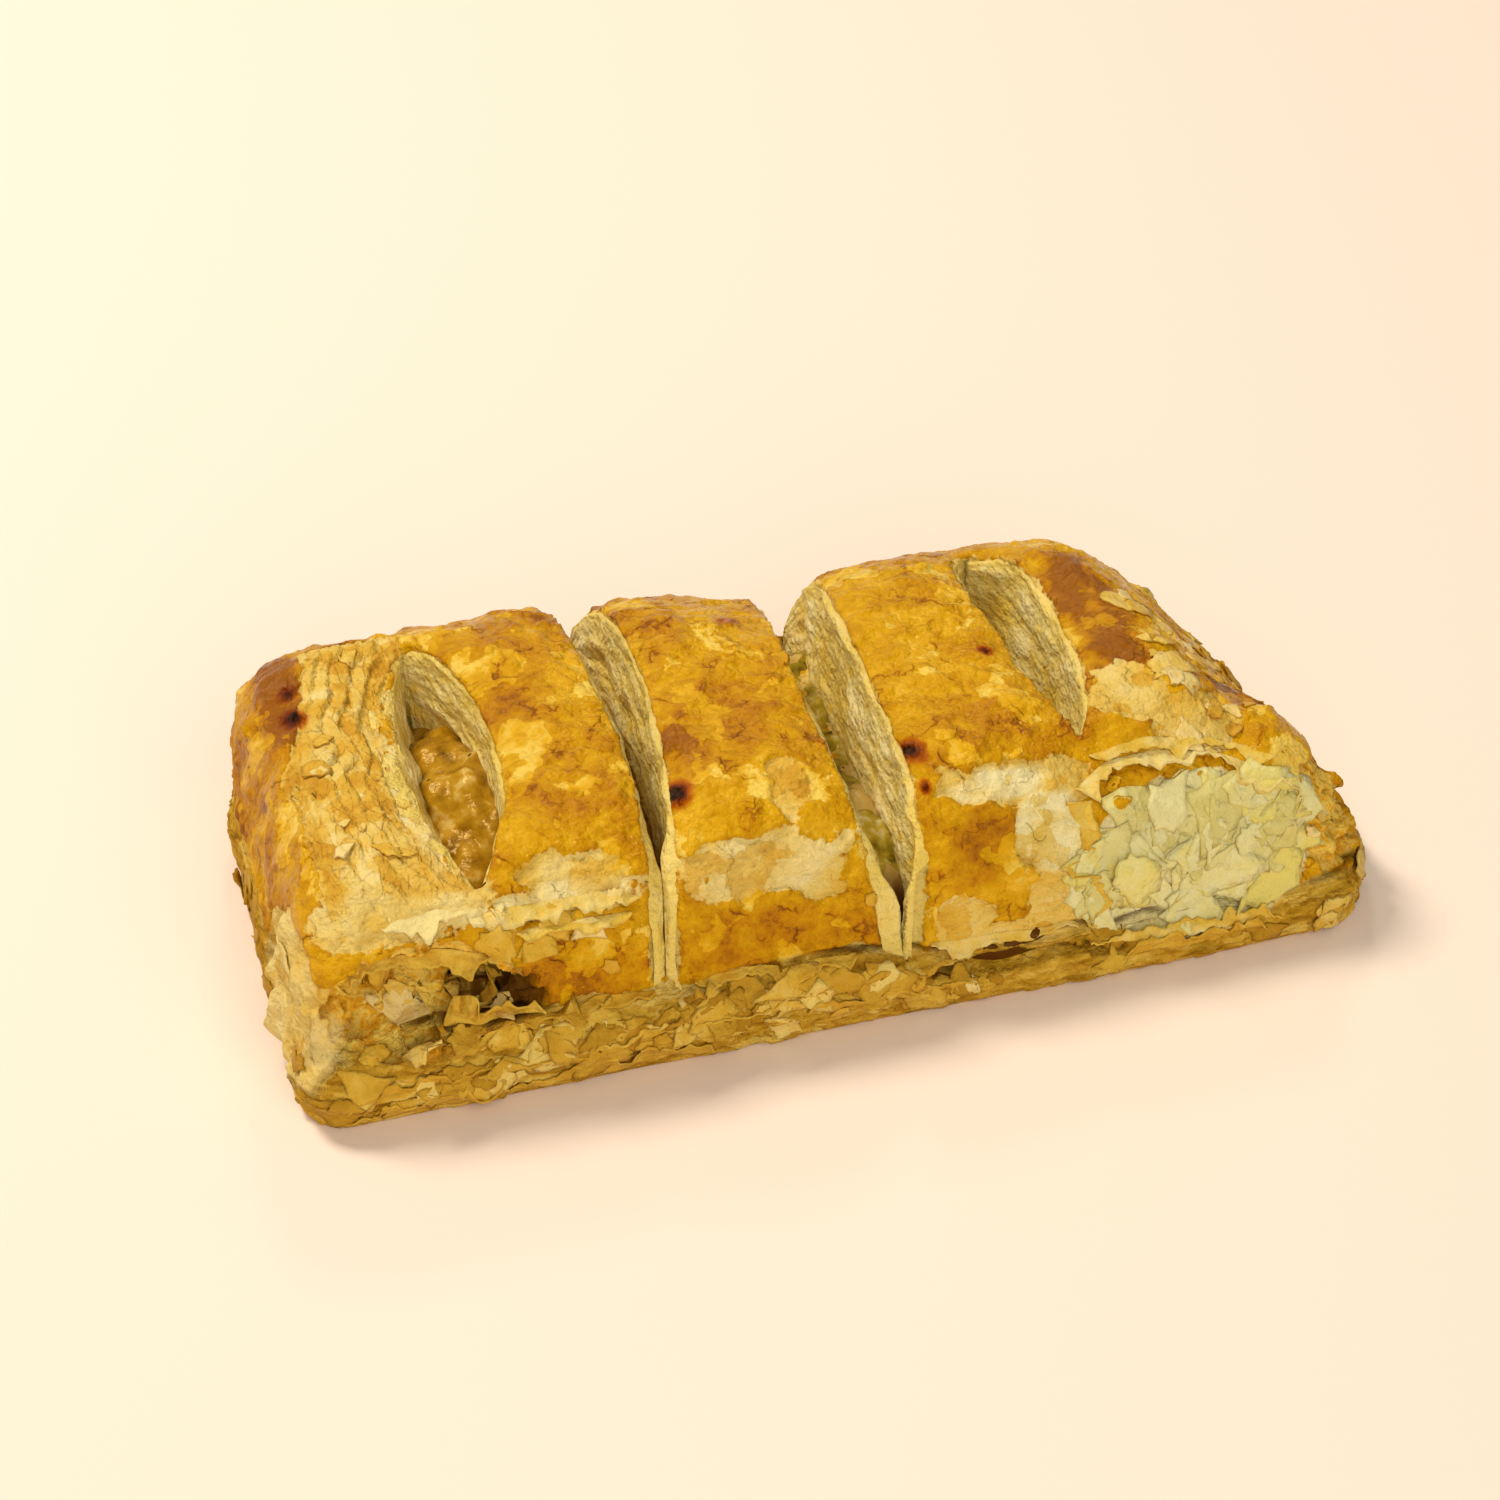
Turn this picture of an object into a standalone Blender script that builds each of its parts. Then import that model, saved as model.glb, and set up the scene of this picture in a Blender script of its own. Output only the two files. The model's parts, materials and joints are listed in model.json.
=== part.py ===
"""Chicken puff: a rectangle of baked puff pastry, slashed across its lid, over a layer of chicken filling.

Metres, +Z up. X runs along the puff, the pinched front seam faces -Y, and the origin is at the middle
of the base. The pastry is one solid: a boxy loft, less four slashes, a torn pocket, an open seam and
the room that the filling lies in, with its loose flakes fused on. The filling is the other solid.
"""

import math
import random

import bmesh
import bpy
from mathutils import Matrix, Quaternion, Vector, noise
from mathutils.bvhtree import BVHTree

MM = 0.001

# Outer size and plan. The base is a rectangle whose corners differ, and its ends draw in towards the back.
LENGTH = 144 * MM
WIDTH = 72 * MM
HEIGHT = 31.5 * MM
HALF_LENGTH, HALF_WIDTH = LENGTH / 2, WIDTH / 2
FRONT_CORNERS = (6 * MM, 12 * MM)
BACK_CORNERS = (17 * MM, 12 * MM)
LEFT_DRAW_IN, RIGHT_DRAW_IN = 2.5 * MM, 5 * MM

# The seam, where lid and base meet: high on the left, low on the right, with the base's edge proud of it.
SEAM_LEFT, SEAM_RIGHT = 11 * MM, 7 * MM
SEAM_STEP_X, SEAM_STEP_RUN = 5 * MM, 9 * MM
LEDGE = 2.6 * MM
UNDERCUT = 1.2 * MM

# How far in from each side the lid takes to reach its full height, and how square each shoulder is.
FRONT_RUN, FRONT_POWER = 19 * MM, 2.2
BACK_RUN_LEFT, BACK_RUN_RIGHT, BACK_POWER = 18 * MM, 24 * MM, 2.3
BACK_RUN_CHANGE = (-30 * MM, 0)
LEFT_RUN, LEFT_POWER = 13 * MM, 2.3
RIGHT_RUN, RIGHT_POWER = 21 * MM, 1.25
LEFT_SETBACK = -1.4 * MM

# Bands whose back crest lies lower than the rest: the place along X, its spread and the drop.
CREST_SAGS = [(0 * MM, 9 * MM, 3.8 * MM), (46 * MM, 9 * MM, 1.2 * MM)]
SAG_FROM_Y, SAG_TO_Y = 4 * MM, 24 * MM

# The lid's own unevenness: rolled edges at the slashes, a broad swell, wrinkles, terraces and a knob.
SLASH_ROLL, SLASH_ROLL_RUN = 1.6 * MM, 4 * MM
SWELL, SWELL_SIZE = 0.9 * MM, 15 * MM
WRINKLE, WRINKLE_SIZE = 0.35 * MM, 4 * MM
TERRACE_DROP, TERRACE_RUN = 3.2 * MM, 13 * MM
KNOB_AT, KNOB_RISE, KNOB_SPREAD = Vector((61 * MM, -24 * MM)), 7 * MM, 9 * MM
PATCH_FROM, PATCH_TO, PATCH_BACK, PATCH_DEPTH = 27 * MM, 57 * MM, -21 * MM, 2 * MM

# Crags of the broken leaves, round the base and down the slashes.
LEAF_PITCH, LEAF_RELIEF = 4 * MM, 0.6 * MM
CRAG_SIZE, CRAG_RELIEF = 5 * MM, 1.1 * MM
WALL_RELIEF = 0.5 * MM

# The torn pocket at the front left, and the slot where the seam has opened on the right.
POCKET_AT, POCKET_RADII = (-57 * MM, -35 * MM, 16.5 * MM), (13 * MM, 7.5 * MM, 6.5 * MM)
GAP_START, GAP_END, GAP_LOW, GAP_OPEN, GAP_DEEP = 7 * MM, 46 * MM, 4.4 * MM, 3.2 * MM, 7.5 * MM
GAP_NARROWS = 20 * MM

# The filling: a flat bed, its lumps, the heap in the first slash and the tongue that shows in the open seam.
FILLING_LENGTH, FILLING_WIDTH = 122 * MM, 54 * MM
FILLING_MIDDLE_Z, FILLING_THICKNESS = 10 * MM, 5.5 * MM
FILLING_EDGE = 0.35
LUMP_RELIEF, LUMP_SIZE = 1.3 * MM, 6 * MM
TONGUE_X, TONGUE_SPREAD, TONGUE_REACH, TONGUE_DROP = 20 * MM, 15 * MM, 6 * MM, 4 * MM
HEAP_AT, HEAP_RISE = Vector((-42 * MM, -2 * MM)), 8.5 * MM
HEAP_SPREAD_X, HEAP_SPREAD_Y = 5.5 * MM, 14 * MM
FILLING_GAP = 0.4 * MM

# Flakes: thin plates, half sunk in what they lie on.
FLAKE_SIDES, FLAKE_THICKNESS, FLAKE_TILT = 5, 0.8 * MM, 0.2
FLAKE_SEED = 4

# Meshing.
LID_COLUMNS, LID_ROWS, WALL_CUTS = 46, 20, 4
SLASH_STATIONS, SLASH_LEVELS = 13, 6
FILLING_COLUMNS, FILLING_ROWS = 26, 10
ABOVE = HEIGHT + 6 * MM
TOUCH = 0.2 * MM


class Slash:
    """One cut across the lid: its line, its ends, its half widths at lid level and how its walls lean."""

    def __init__(self, x, lean, bend, front, back, halves, left_lean, right_lean, floor):
        self.x, self.lean, self.bend = x * MM, lean, bend / MM
        self.front, self.back = front * MM, back * MM
        self.halves = [half * MM for half in halves]
        self.left_lean, self.right_lean = left_lean * MM, right_lean * MM
        self.floor = floor * MM

    def middle(self, y):
        return self.x + self.lean * y + self.bend * y * y

    def half(self, y):
        """Half width at lid level: front, middle and back widths blended, and pinched at both ends."""
        t = (y - self.front) / (self.back - self.front)
        if not 0 < t < 1:
            return 0.0
        front, middle, back = self.halves
        blend = front * (1 - t) ** 2 + 2 * middle * t * (1 - t) + back * t**2
        return blend * (1 - abs(2 * t - 1) ** 7) ** 0.5

    def wall(self, y, depth, side):
        """X of a wall, with depth 0 at the floor and 1 at lid level, and side -1 or 1.

        A wall that leans far may pass the middle, but it stops just short of the other wall.
        """
        half = self.half(y)
        fall = (1 - depth) * min(half / max(self.halves), 1)
        left, right = half - self.left_lean * fall, half - self.right_lean * fall
        own, other = (left, right) if side < 0 else (right, left)
        return self.middle(y) + side * max(own, TOUCH - other)

    def clearance(self, x, y):
        """Distance from the cut's edge, 0 inside it."""
        pinch = y - min(max(y, self.front), self.back)
        return math.hypot(max(abs(x - self.middle(y)) - self.half(y), 0), pinch)


SLASHES = [
    Slash(-45.6, 0.02, 0.0, -25, 22, (1.5, 12.2, 2), 17, 1.5, 9),
    Slash(-20.6, 0.045, -0.003, -35.5, 38, (1.4, 2.8, 4.4), 0.6, 1.8, 8),
    Slash(6.0, 0.05, 0.001, -34, 38, (4.4, 4.6, 4.6), 0.8, 2.2, 7),
    Slash(34.0, 0.0, -0.003, -21, 22, (1.2, 6.8, 4), 1.0, 5.5, 9),
]


def ramp(value, start, end):
    """Smooth step from 0 at start to 1 at end."""
    t = min(max((value - start) / (end - start), 0), 1)
    return t * t * (3 - 2 * t)


def mix(first, second, share):
    return first + (second - first) * share


def crown(distance, run, power):
    """A rounded shoulder: 0 at the edge, 1 once distance reaches run."""
    t = 1 - min(max(distance / run, 0), 1)
    return (1 - t**power) ** (1 / power)


def relief(point, size, seed=0.0):
    """Smooth noise from about -1 to 1, whose bumps are about size across."""
    return noise.noise(Vector(point) / size + Vector((seed, seed, seed)))


def seam_height(x):
    return mix(SEAM_LEFT, SEAM_RIGHT, ramp(x, SEAM_STEP_X - SEAM_STEP_RUN, SEAM_STEP_X + SEAM_STEP_RUN))


def end_reach(side, y):
    """How far the base reaches from the middle towards one end, side -1 or 1."""
    if side < 0:
        return HALF_LENGTH - LEFT_DRAW_IN * ramp(y, -HALF_WIDTH, HALF_WIDTH)
    return HALF_LENGTH - RIGHT_DRAW_IN * ramp(y, KNOB_AT.y, HALF_WIDTH)


def eased(value):
    """Spreads rows towards the edges, where the shoulders curve most."""
    return math.copysign(1 - (1 - abs(value)) ** 1.35, value)


def plan(u, v, inset):
    """A point of the base's outline shrunk by inset, from u and v, each from -1 to 1."""
    y = eased(v) * (HALF_WIDTH - inset)
    side = math.copysign(1, u)
    radius = (FRONT_CORNERS if v < 0 else BACK_CORNERS)[u > 0] - inset
    past = min(max(abs(y) - (HALF_WIDTH - inset - radius), 0), radius)
    rounding = radius - math.sqrt(radius**2 - past**2)
    return eased(u) * (end_reach(side, y) - inset - rounding), y


def lid_height(x, y):
    """The lid's top surface, from the seam up over the shoulders."""
    to_left = x + end_reach(-1, y) - LEDGE - LEFT_SETBACK
    to_right = end_reach(1, y) - LEDGE - x
    to_front, to_back = y + HALF_WIDTH - LEDGE, HALF_WIDTH - LEDGE - y
    back_run = mix(BACK_RUN_LEFT, BACK_RUN_RIGHT, ramp(x, *BACK_RUN_CHANGE))
    rise = crown(to_front, FRONT_RUN, FRONT_POWER) * crown(to_back, back_run, BACK_POWER)
    rise *= crown(to_left, LEFT_RUN, LEFT_POWER)
    rise *= 1 - (1 - min(max(to_right / RIGHT_RUN, 0), 1)) ** RIGHT_POWER
    seam = seam_height(x)
    height = seam + (HEIGHT - SWELL - seam) * rise
    roll = min(slash.clearance(x, y) for slash in SLASHES) / SLASH_ROLL_RUN
    height -= SLASH_ROLL * (1 - min(roll, 1)) ** 2 * rise
    height -= terrace_drop(x, y) * rise + torn_patch(x, y) * PATCH_DEPTH
    sag = sum(drop * math.exp(-(((x - at) / spread) ** 2)) for at, spread, drop in CREST_SAGS)
    height -= sag * ramp(y, SAG_FROM_Y, SAG_TO_Y) * rise
    knob = math.exp(-((Vector((x, y)) - KNOB_AT).length / KNOB_SPREAD) ** 2)
    height += KNOB_RISE * knob * ramp(1 - rise, 0, 0.5)
    height += SWELL * relief((x, y, 0), SWELL_SIZE) * rise
    return max(height + WRINKLE * relief((x, y, 0), WRINKLE_SIZE, 3) * rise, seam * 0.9)


def terrace_drop(x, y):
    """The leaves step down towards the first slash from the left, where the skin has come away."""
    slash = SLASHES[0]
    if x > slash.middle(y) or not slash.front < y < slash.back:
        return 0.0
    return TERRACE_DROP * max(1 - slash.clearance(x, y) / TERRACE_RUN, 0)


def torn_patch(x, y):
    """1 inside the large patch at the front right where skin and top leaves are gone."""
    across = ramp(x, PATCH_FROM, PATCH_FROM + 3 * MM) * (1 - ramp(x, PATCH_TO - 4 * MM, PATCH_TO))
    edge = PATCH_BACK + 2.5 * MM * relief((x, 0, 0), 7 * MM, 6)
    return across * (1 - ramp(y, edge - 2 * MM, edge))


def wall_relief(point, level):
    """Relief of the base's leaves: thin ridges stacked in level, broken up by crags."""
    wave = level + 1.5 * MM * relief(point, 14 * MM, 5)
    ridge = LEAF_RELIEF * math.sin(2 * math.pi * wave / LEAF_PITCH)
    return ridge + CRAG_RELIEF * relief(point, CRAG_SIZE, 2)


def pastry_point(grid):
    """Maps a grid box, u and v from -1 to 1 and w from 0 at the base to 1 at the lid, to the pastry's skin."""
    u, v, w = grid
    if w > 0.999:
        x, y = plan(u, v, LEDGE)
        x += LEFT_SETBACK * ramp(-u, 0.7, 1)
        return Vector((x, y, lid_height(x, y)))
    if w < 0.001:
        return Vector((*plan(u, v, UNDERCUT), 0))
    x, y = plan(u, v, 0)
    level = (seam_height(x) - 0.8 * MM) * w * (WALL_CUTS + 1) / WALL_CUTS
    belly = UNDERCUT * (1 - math.sin(math.pi * min(w * 1.1, 1)))
    inset = belly - wall_relief((x, y, level), level)
    return Vector((*plan(u, v, max(inset, 0)), level))


def grid_box(columns, rows, cuts):
    """A closed box of gridded faces: u and v from -1 to 1, w from 0 to 1, its sides cut into cuts + 1 rows."""
    bm = bmesh.new()
    bmesh.ops.create_grid(bm, x_segments=columns, y_segments=rows, size=1)
    top = bmesh.ops.extrude_face_region(bm, geom=bm.faces[:] + bm.edges[:] + bm.verts[:])["geom"]
    raised = [item for item in top if isinstance(item, bmesh.types.BMVert)]
    bmesh.ops.translate(bm, verts=raised, vec=(0, 0, 1))
    if cuts:
        upright = [edge for edge in bm.edges if abs(edge.verts[0].co.z - edge.verts[1].co.z) > 0.5]
        bmesh.ops.subdivide_edges(bm, edges=upright, cuts=cuts, use_grid_fill=True)
    return bm


def to_object(bm, name):
    """Makes an object of the bmesh, its faces triangles that point outwards."""
    bmesh.ops.triangulate(bm, faces=bm.faces[:])
    bmesh.ops.recalc_face_normals(bm, faces=bm.faces[:])
    mesh = bpy.data.meshes.new(name)
    bm.to_mesh(mesh)
    bm.free()
    obj = bpy.data.objects.new(name, mesh)
    bpy.context.scene.collection.objects.link(obj)
    return obj


def as_helper(obj):
    obj.hide_render = True
    obj.display_type = "WIRE"
    return obj


def pastry_body():
    bm = grid_box(LID_COLUMNS, LID_ROWS, WALL_CUTS)
    for vert in bm.verts:
        vert.co = pastry_point(vert.co)
    base = [face for face in bm.faces if all(vert.co.z < 1e-7 for vert in face.verts)]
    bmesh.ops.dissolve_faces(bm, faces=base, use_verts=True)
    return to_object(bm, "pastry")


def slash_cutter(slash):
    """A blade as wide as the cut, from its floor to above the lid, craggy down both walls."""
    bm = grid_box(SLASH_STATIONS, SLASH_LEVELS, 0)
    for vert in bm.verts:
        u, v, w = vert.co
        y = mix(slash.front, slash.back, (u + 1) / 2)
        depth = (v + 1) / 2
        z = mix(slash.floor, HEIGHT, depth)
        side = 1 if w > 0.5 else -1
        x = slash.wall(y, depth, side)
        if slash.half(y) > 3 * WALL_RELIEF:
            x += WALL_RELIEF * relief((side, y / 2, z), 3 * MM, slash.x / MM)
        vert.co = Vector((x, y, ABOVE if v > 0.999 else z))
    return as_helper(to_object(bm, "slash_cutter"))


def pocket_cutter():
    """A lumpy egg, for the torn pocket."""
    bm = bmesh.new()
    bmesh.ops.create_icosphere(bm, subdivisions=3, radius=1)
    for vert in bm.verts:
        bump = 1 + 0.3 * relief(vert.co, 0.45, 7)
        vert.co = Vector(c + r * a * bump for c, r, a in zip(POCKET_AT, POCKET_RADII, vert.co))
    return as_helper(to_object(bm, "pocket_cutter"))


def seam_gap_cutter():
    """The slot where the lid has lifted off the base: highest at its left, shut at its right."""
    bm = grid_box(16, 3, 0)
    for vert in bm.verts:
        u, v, w = vert.co
        x = mix(GAP_START, GAP_END, (u + 1) / 2)
        depth = (v + 1) / 2
        y = GAP_DEEP * depth - HALF_WIDTH - 2 * MM
        opening = GAP_OPEN * (1 - ramp(x, GAP_NARROWS, GAP_END)) * ramp(x, GAP_START - 2 * MM, GAP_START + 3 * MM)
        opening = max(opening * mix(1, 0.4, depth), TOUCH)
        low = GAP_LOW + 0.5 * MM * relief((x, y, 0), 6 * MM, 4)
        vert.co = Vector((x, y, low + opening * w))
    return as_helper(to_object(bm, "seam_gap_cutter"))


def filling_body(name, gap):
    """The bed of filling or, grown by gap all round, the room that it lies in."""
    bm = grid_box(FILLING_COLUMNS, FILLING_ROWS, 0)
    for vert in bm.verts:
        u, v, w = vert.co
        rim = max(abs(u), abs(v))
        bed_x, bed_y = eased(u) * FILLING_LENGTH / 2, eased(v) * FILLING_WIDTH / 2
        tongue = math.exp(-(((bed_x - TONGUE_X) / TONGUE_SPREAD) ** 2)) * ramp(-v, 0.4, 1)
        half = FILLING_THICKNESS / 2 * mix(FILLING_EDGE, 1, crown(1 - rim, 0.35, 2))
        lump = max(LUMP_RELIEF * relief((bed_x, bed_y, 0), LUMP_SIZE, 11), -0.4 * MM) * min((1 - rim) * 5, 1)
        vert.co.x = bed_x * (1 + gap / (FILLING_LENGTH / 2))
        vert.co.y = bed_y * (1 + gap / (FILLING_WIDTH / 2)) - TONGUE_REACH * tongue
        away_x, away_y = (bed_x - HEAP_AT.x) / HEAP_SPREAD_X, (bed_y - HEAP_AT.y) / HEAP_SPREAD_Y
        heap = HEAP_RISE * math.exp(-(away_x**2) - away_y**2)
        upper, lower = half + lump + heap + gap, -half - gap
        vert.co.z = FILLING_MIDDLE_Z - TONGUE_DROP * tongue + (upper if w > 0.5 else lower)
    return to_object(bm, name)


def flake(where, facing, across, draw):
    """A thin uneven plate lying near the surface that it is half sunk in."""
    bm = bmesh.new()
    bmesh.ops.create_cone(
        bm, cap_ends=True, segments=FLAKE_SIDES, radius1=1, radius2=0.85, depth=1
    )
    stretch = [draw.uniform(0.65, 1.1) for _ in range(FLAKE_SIDES)]
    narrow = draw.uniform(0.5, 0.9)
    for vert in bm.verts:
        turn = math.atan2(vert.co.y, vert.co.x) / (2 * math.pi) * FLAKE_SIDES
        vert.co.xy *= stretch[round(turn) % FLAKE_SIDES] * across / 2
        vert.co.y *= narrow
        vert.co.z *= FLAKE_THICKNESS
    tilt = Vector([draw.uniform(-FLAKE_TILT, FLAKE_TILT) for _ in range(3)])
    turned = (facing.normalized() + tilt).to_track_quat("Z", "Y")
    spin = Quaternion((0, 0, 1), draw.uniform(0, math.pi))
    matrix = Matrix.Translation(where) @ (turned @ spin).to_matrix().to_4x4()
    bmesh.ops.transform(bm, matrix=matrix, verts=bm.verts)
    return as_helper(to_object(bm, "flake"))


def flakes(pastry):
    """Flakes along the front seam, in the pocket, round the torn patch, on the knob and at the ends."""
    draw = random.Random(FLAKE_SEED)
    tree = BVHTree.FromObject(pastry, bpy.context.evaluated_depsgraph_get())
    front, down, left, right = Vector((0, 1, -0.35)), Vector((0, 0.3, -1)), Vector((1, 0, 0)), Vector((-1, 0, 0))
    # Each field: how many, the box that the flakes are thrown from, which way they fly and their size.
    fields = [
        (24, (-68, 4), (-46, -46), (7, 17), front, (4, 9)),
        (5, (44, 66), (-46, -46), (5, 13), front, (4, 6)),
        (6, (-66, -48), (-48, -48), (17, 25), front, (5, 8)),
        (11, (30, 55), (-46, -46), (14, 26), front, (6, 11)),
        (6, (54, 68), (-34, -20), (40, 40), down, (5, 7)),
        (5, (-66, -60), (-20, 14), (40, 40), down, (5, 8)),
        (4, (-90, -90), (-26, 18), (4, 18), left, (5, 9)),
        (3, (90, 90), (-20, 20), (4, 10), right, (5, 7)),
        (5, (-60, 60), (50, 50), (4, 9), Vector((0, -1, 0)), (5, 9)),
    ]
    made = []
    for count, x_range, y_range, z_range, flight, sizes in fields:
        for _ in range(count):
            start = Vector(draw.uniform(*ends) * MM for ends in (x_range, y_range, z_range))
            where, normal, _, _ = tree.ray_cast(start, flight.normalized())
            across = draw.uniform(*sizes) * MM
            if where and normal.z > -0.5 and where.z > across / 2:
                made.append(flake(where, normal.lerp(-flight.normalized(), 0.5), across, draw))
    return made


def apply_boolean(target, operation, **operand):
    modifier = target.modifiers.new(operation.lower(), "BOOLEAN")
    modifier.operation = operation
    modifier.solver = "EXACT"
    for name, value in operand.items():
        setattr(modifier, name, value)
    with bpy.context.temp_override(object=target, active_object=target):
        bpy.ops.object.modifier_apply(modifier=modifier.name)


def cut(target, cutters):
    for cutter in cutters:
        apply_boolean(target, "DIFFERENCE", object=cutter)
        bpy.data.objects.remove(cutter)


def fuse(target, pieces):
    """Joins the pieces to target by one union on a collection, and removes them."""
    heap = bpy.data.collections.new("heap")
    bpy.context.scene.collection.children.link(heap)
    for piece in pieces:
        heap.objects.link(piece)
    apply_boolean(target, "UNION", operand_type="COLLECTION", collection=heap)
    for piece in pieces:
        bpy.data.objects.remove(piece)
    bpy.data.collections.remove(heap)


def keep_largest(obj):
    """Drops loose scraps, and fills hollows that the fusing sealed: both are shells apart from the main one."""
    bm = bmesh.new()
    bm.from_mesh(obj.data)
    shells, unseen = [], set(bm.verts)
    while unseen:
        shell, edge_of = set(), [unseen.pop()]
        while edge_of:
            vert = edge_of.pop()
            shell.add(vert)
            near = {edge.other_vert(vert) for edge in vert.link_edges} & unseen
            unseen -= near
            edge_of.extend(near)
        shells.append(shell)
    main_shell = max(shells, key=len)
    for shell in shells:
        if shell is not main_shell:
            bmesh.ops.delete(bm, geom=list(shell), context="VERTS")
    bmesh.ops.triangulate(bm, faces=bm.faces[:])
    bm.to_mesh(obj.data)
    bm.free()


def clear_scene():
    for obj in list(bpy.data.objects):
        bpy.data.objects.remove(obj)


def give_material(obj, name, colour, roughness):
    material = bpy.data.materials.new(name)
    material.use_nodes = True
    shader = material.node_tree.nodes["Principled BSDF"]
    shader.inputs["Base Color"].default_value = (*colour, 1)
    shader.inputs["Roughness"].default_value = roughness
    shader.inputs["Metallic"].default_value = 0
    obj.data.materials.clear()
    obj.data.materials.append(material)


def main():
    clear_scene()
    pastry = pastry_body()
    cut(pastry, [slash_cutter(slash) for slash in SLASHES])
    cut(pastry, [pocket_cutter(), seam_gap_cutter()])
    fuse(pastry, flakes(pastry))
    cut(pastry, [as_helper(filling_body("filling_room", FILLING_GAP))])
    keep_largest(pastry)
    filling = filling_body("filling", 0.0)
    give_material(pastry, "baked_pastry", (0.62, 0.36, 0.08), 0.45)
    give_material(filling, "chicken_filling", (0.35, 0.2, 0.05), 0.4)


main()
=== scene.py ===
import json
import math
import random

import bmesh
import bpy
import numpy as np
from bpy.props import FloatProperty, FloatVectorProperty, IntProperty, PointerProperty
from mathutils import Matrix, Quaternion, Vector, noise
from mathutils.bvhtree import BVHTree

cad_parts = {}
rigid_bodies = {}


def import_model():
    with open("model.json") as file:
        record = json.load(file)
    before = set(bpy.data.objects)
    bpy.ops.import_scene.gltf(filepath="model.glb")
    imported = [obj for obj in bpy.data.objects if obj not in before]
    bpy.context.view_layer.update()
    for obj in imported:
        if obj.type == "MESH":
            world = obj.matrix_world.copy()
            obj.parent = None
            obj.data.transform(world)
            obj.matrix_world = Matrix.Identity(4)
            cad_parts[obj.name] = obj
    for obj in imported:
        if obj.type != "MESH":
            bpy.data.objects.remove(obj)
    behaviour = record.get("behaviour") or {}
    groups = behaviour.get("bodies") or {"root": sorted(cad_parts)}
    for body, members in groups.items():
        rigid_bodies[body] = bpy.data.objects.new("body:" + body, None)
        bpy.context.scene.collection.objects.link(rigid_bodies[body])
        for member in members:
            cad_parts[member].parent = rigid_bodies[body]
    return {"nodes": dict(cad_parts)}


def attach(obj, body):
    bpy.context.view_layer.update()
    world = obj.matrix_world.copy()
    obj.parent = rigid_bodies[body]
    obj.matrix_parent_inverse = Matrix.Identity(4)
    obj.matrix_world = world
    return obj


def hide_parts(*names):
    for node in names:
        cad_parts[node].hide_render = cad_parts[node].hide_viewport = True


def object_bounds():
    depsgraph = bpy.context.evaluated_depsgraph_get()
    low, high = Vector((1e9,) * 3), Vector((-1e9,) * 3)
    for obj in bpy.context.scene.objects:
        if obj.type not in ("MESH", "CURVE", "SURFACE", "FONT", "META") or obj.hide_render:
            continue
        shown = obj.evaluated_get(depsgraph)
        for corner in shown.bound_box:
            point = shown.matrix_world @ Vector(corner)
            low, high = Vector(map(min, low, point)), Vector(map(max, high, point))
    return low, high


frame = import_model()
CAD_BOX = [list(corner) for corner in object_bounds()]

bl_info = {
    "name": "Chicken Puff",
    "version": (1, 0, 0),
    "blender": (4, 5, 0),
    "location": "View3D > Sidebar > Chicken Puff",
    "description": "Builds a slashed puff pastry with a chicken filling, leaf by leaf, over its solids",
    "category": "Mesh",
}

MM = 0.001
# Thickness of a loose leaf and of a strip.
LEAF, STRIP = 0.2 * MM, 0.25 * MM
# No leaf is thrown lower than this.
LOWEST_LEAF = 2.4 * MM
PATCH_LEAVES = 62
# How far loose leaves may pass the solids' box, as a share of its size.
BOX_SLACK = 0.012

# The seam's height at each end and the step between, in mm, as the solids have them.
SEAM_LEFT, SEAM_RIGHT, SEAM_STEP_X, SEAM_STEP_RUN = 11.0, 7.0, 5.0, 9.0


def linear(hex_code):
    """An sRGB hex colour as a linear RGBA tuple."""
    channels = [int(hex_code[i : i + 2], 16) / 255 for i in (1, 3, 5)]
    return (*[c / 12.92 if c <= 0.04045 else ((c + 0.055) / 1.055) ** 2.4 for c in channels], 1.0)


def ramp(value, start, end):
    """Smooth step from 0 at start to 1 at end."""
    t = np.clip((value - start) / (end - start), 0, 1)
    return t * t * (3 - 2 * t)


def relief(points, size, seed=0.0):
    """Smooth noise from about -1 to 1 at each point, in mm, with bumps about size across."""
    scaled = np.asarray(points, float) / size + seed * 13.7
    return np.array([noise.noise(p) for p in scaled.tolist()])


def rough(points, size, seed=0.0):
    """Three octaves of relief."""
    return sum(relief(points, size / 2**i, seed + i) / 1.8**i for i in range(3)) / 1.6


def egg(points, centre, radii):
    """Distance in mm from an egg-shaped region's edge, negative inside it."""
    away = np.linalg.norm((points - np.array(centre)) / np.array(radii), axis=1)
    return (away - 1) * min(radii)


def seam_height(x):
    step = ramp(x, SEAM_STEP_X - SEAM_STEP_RUN, SEAM_STEP_X + SEAM_STEP_RUN)
    return SEAM_LEFT + (SEAM_RIGHT - SEAM_LEFT) * step


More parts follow.
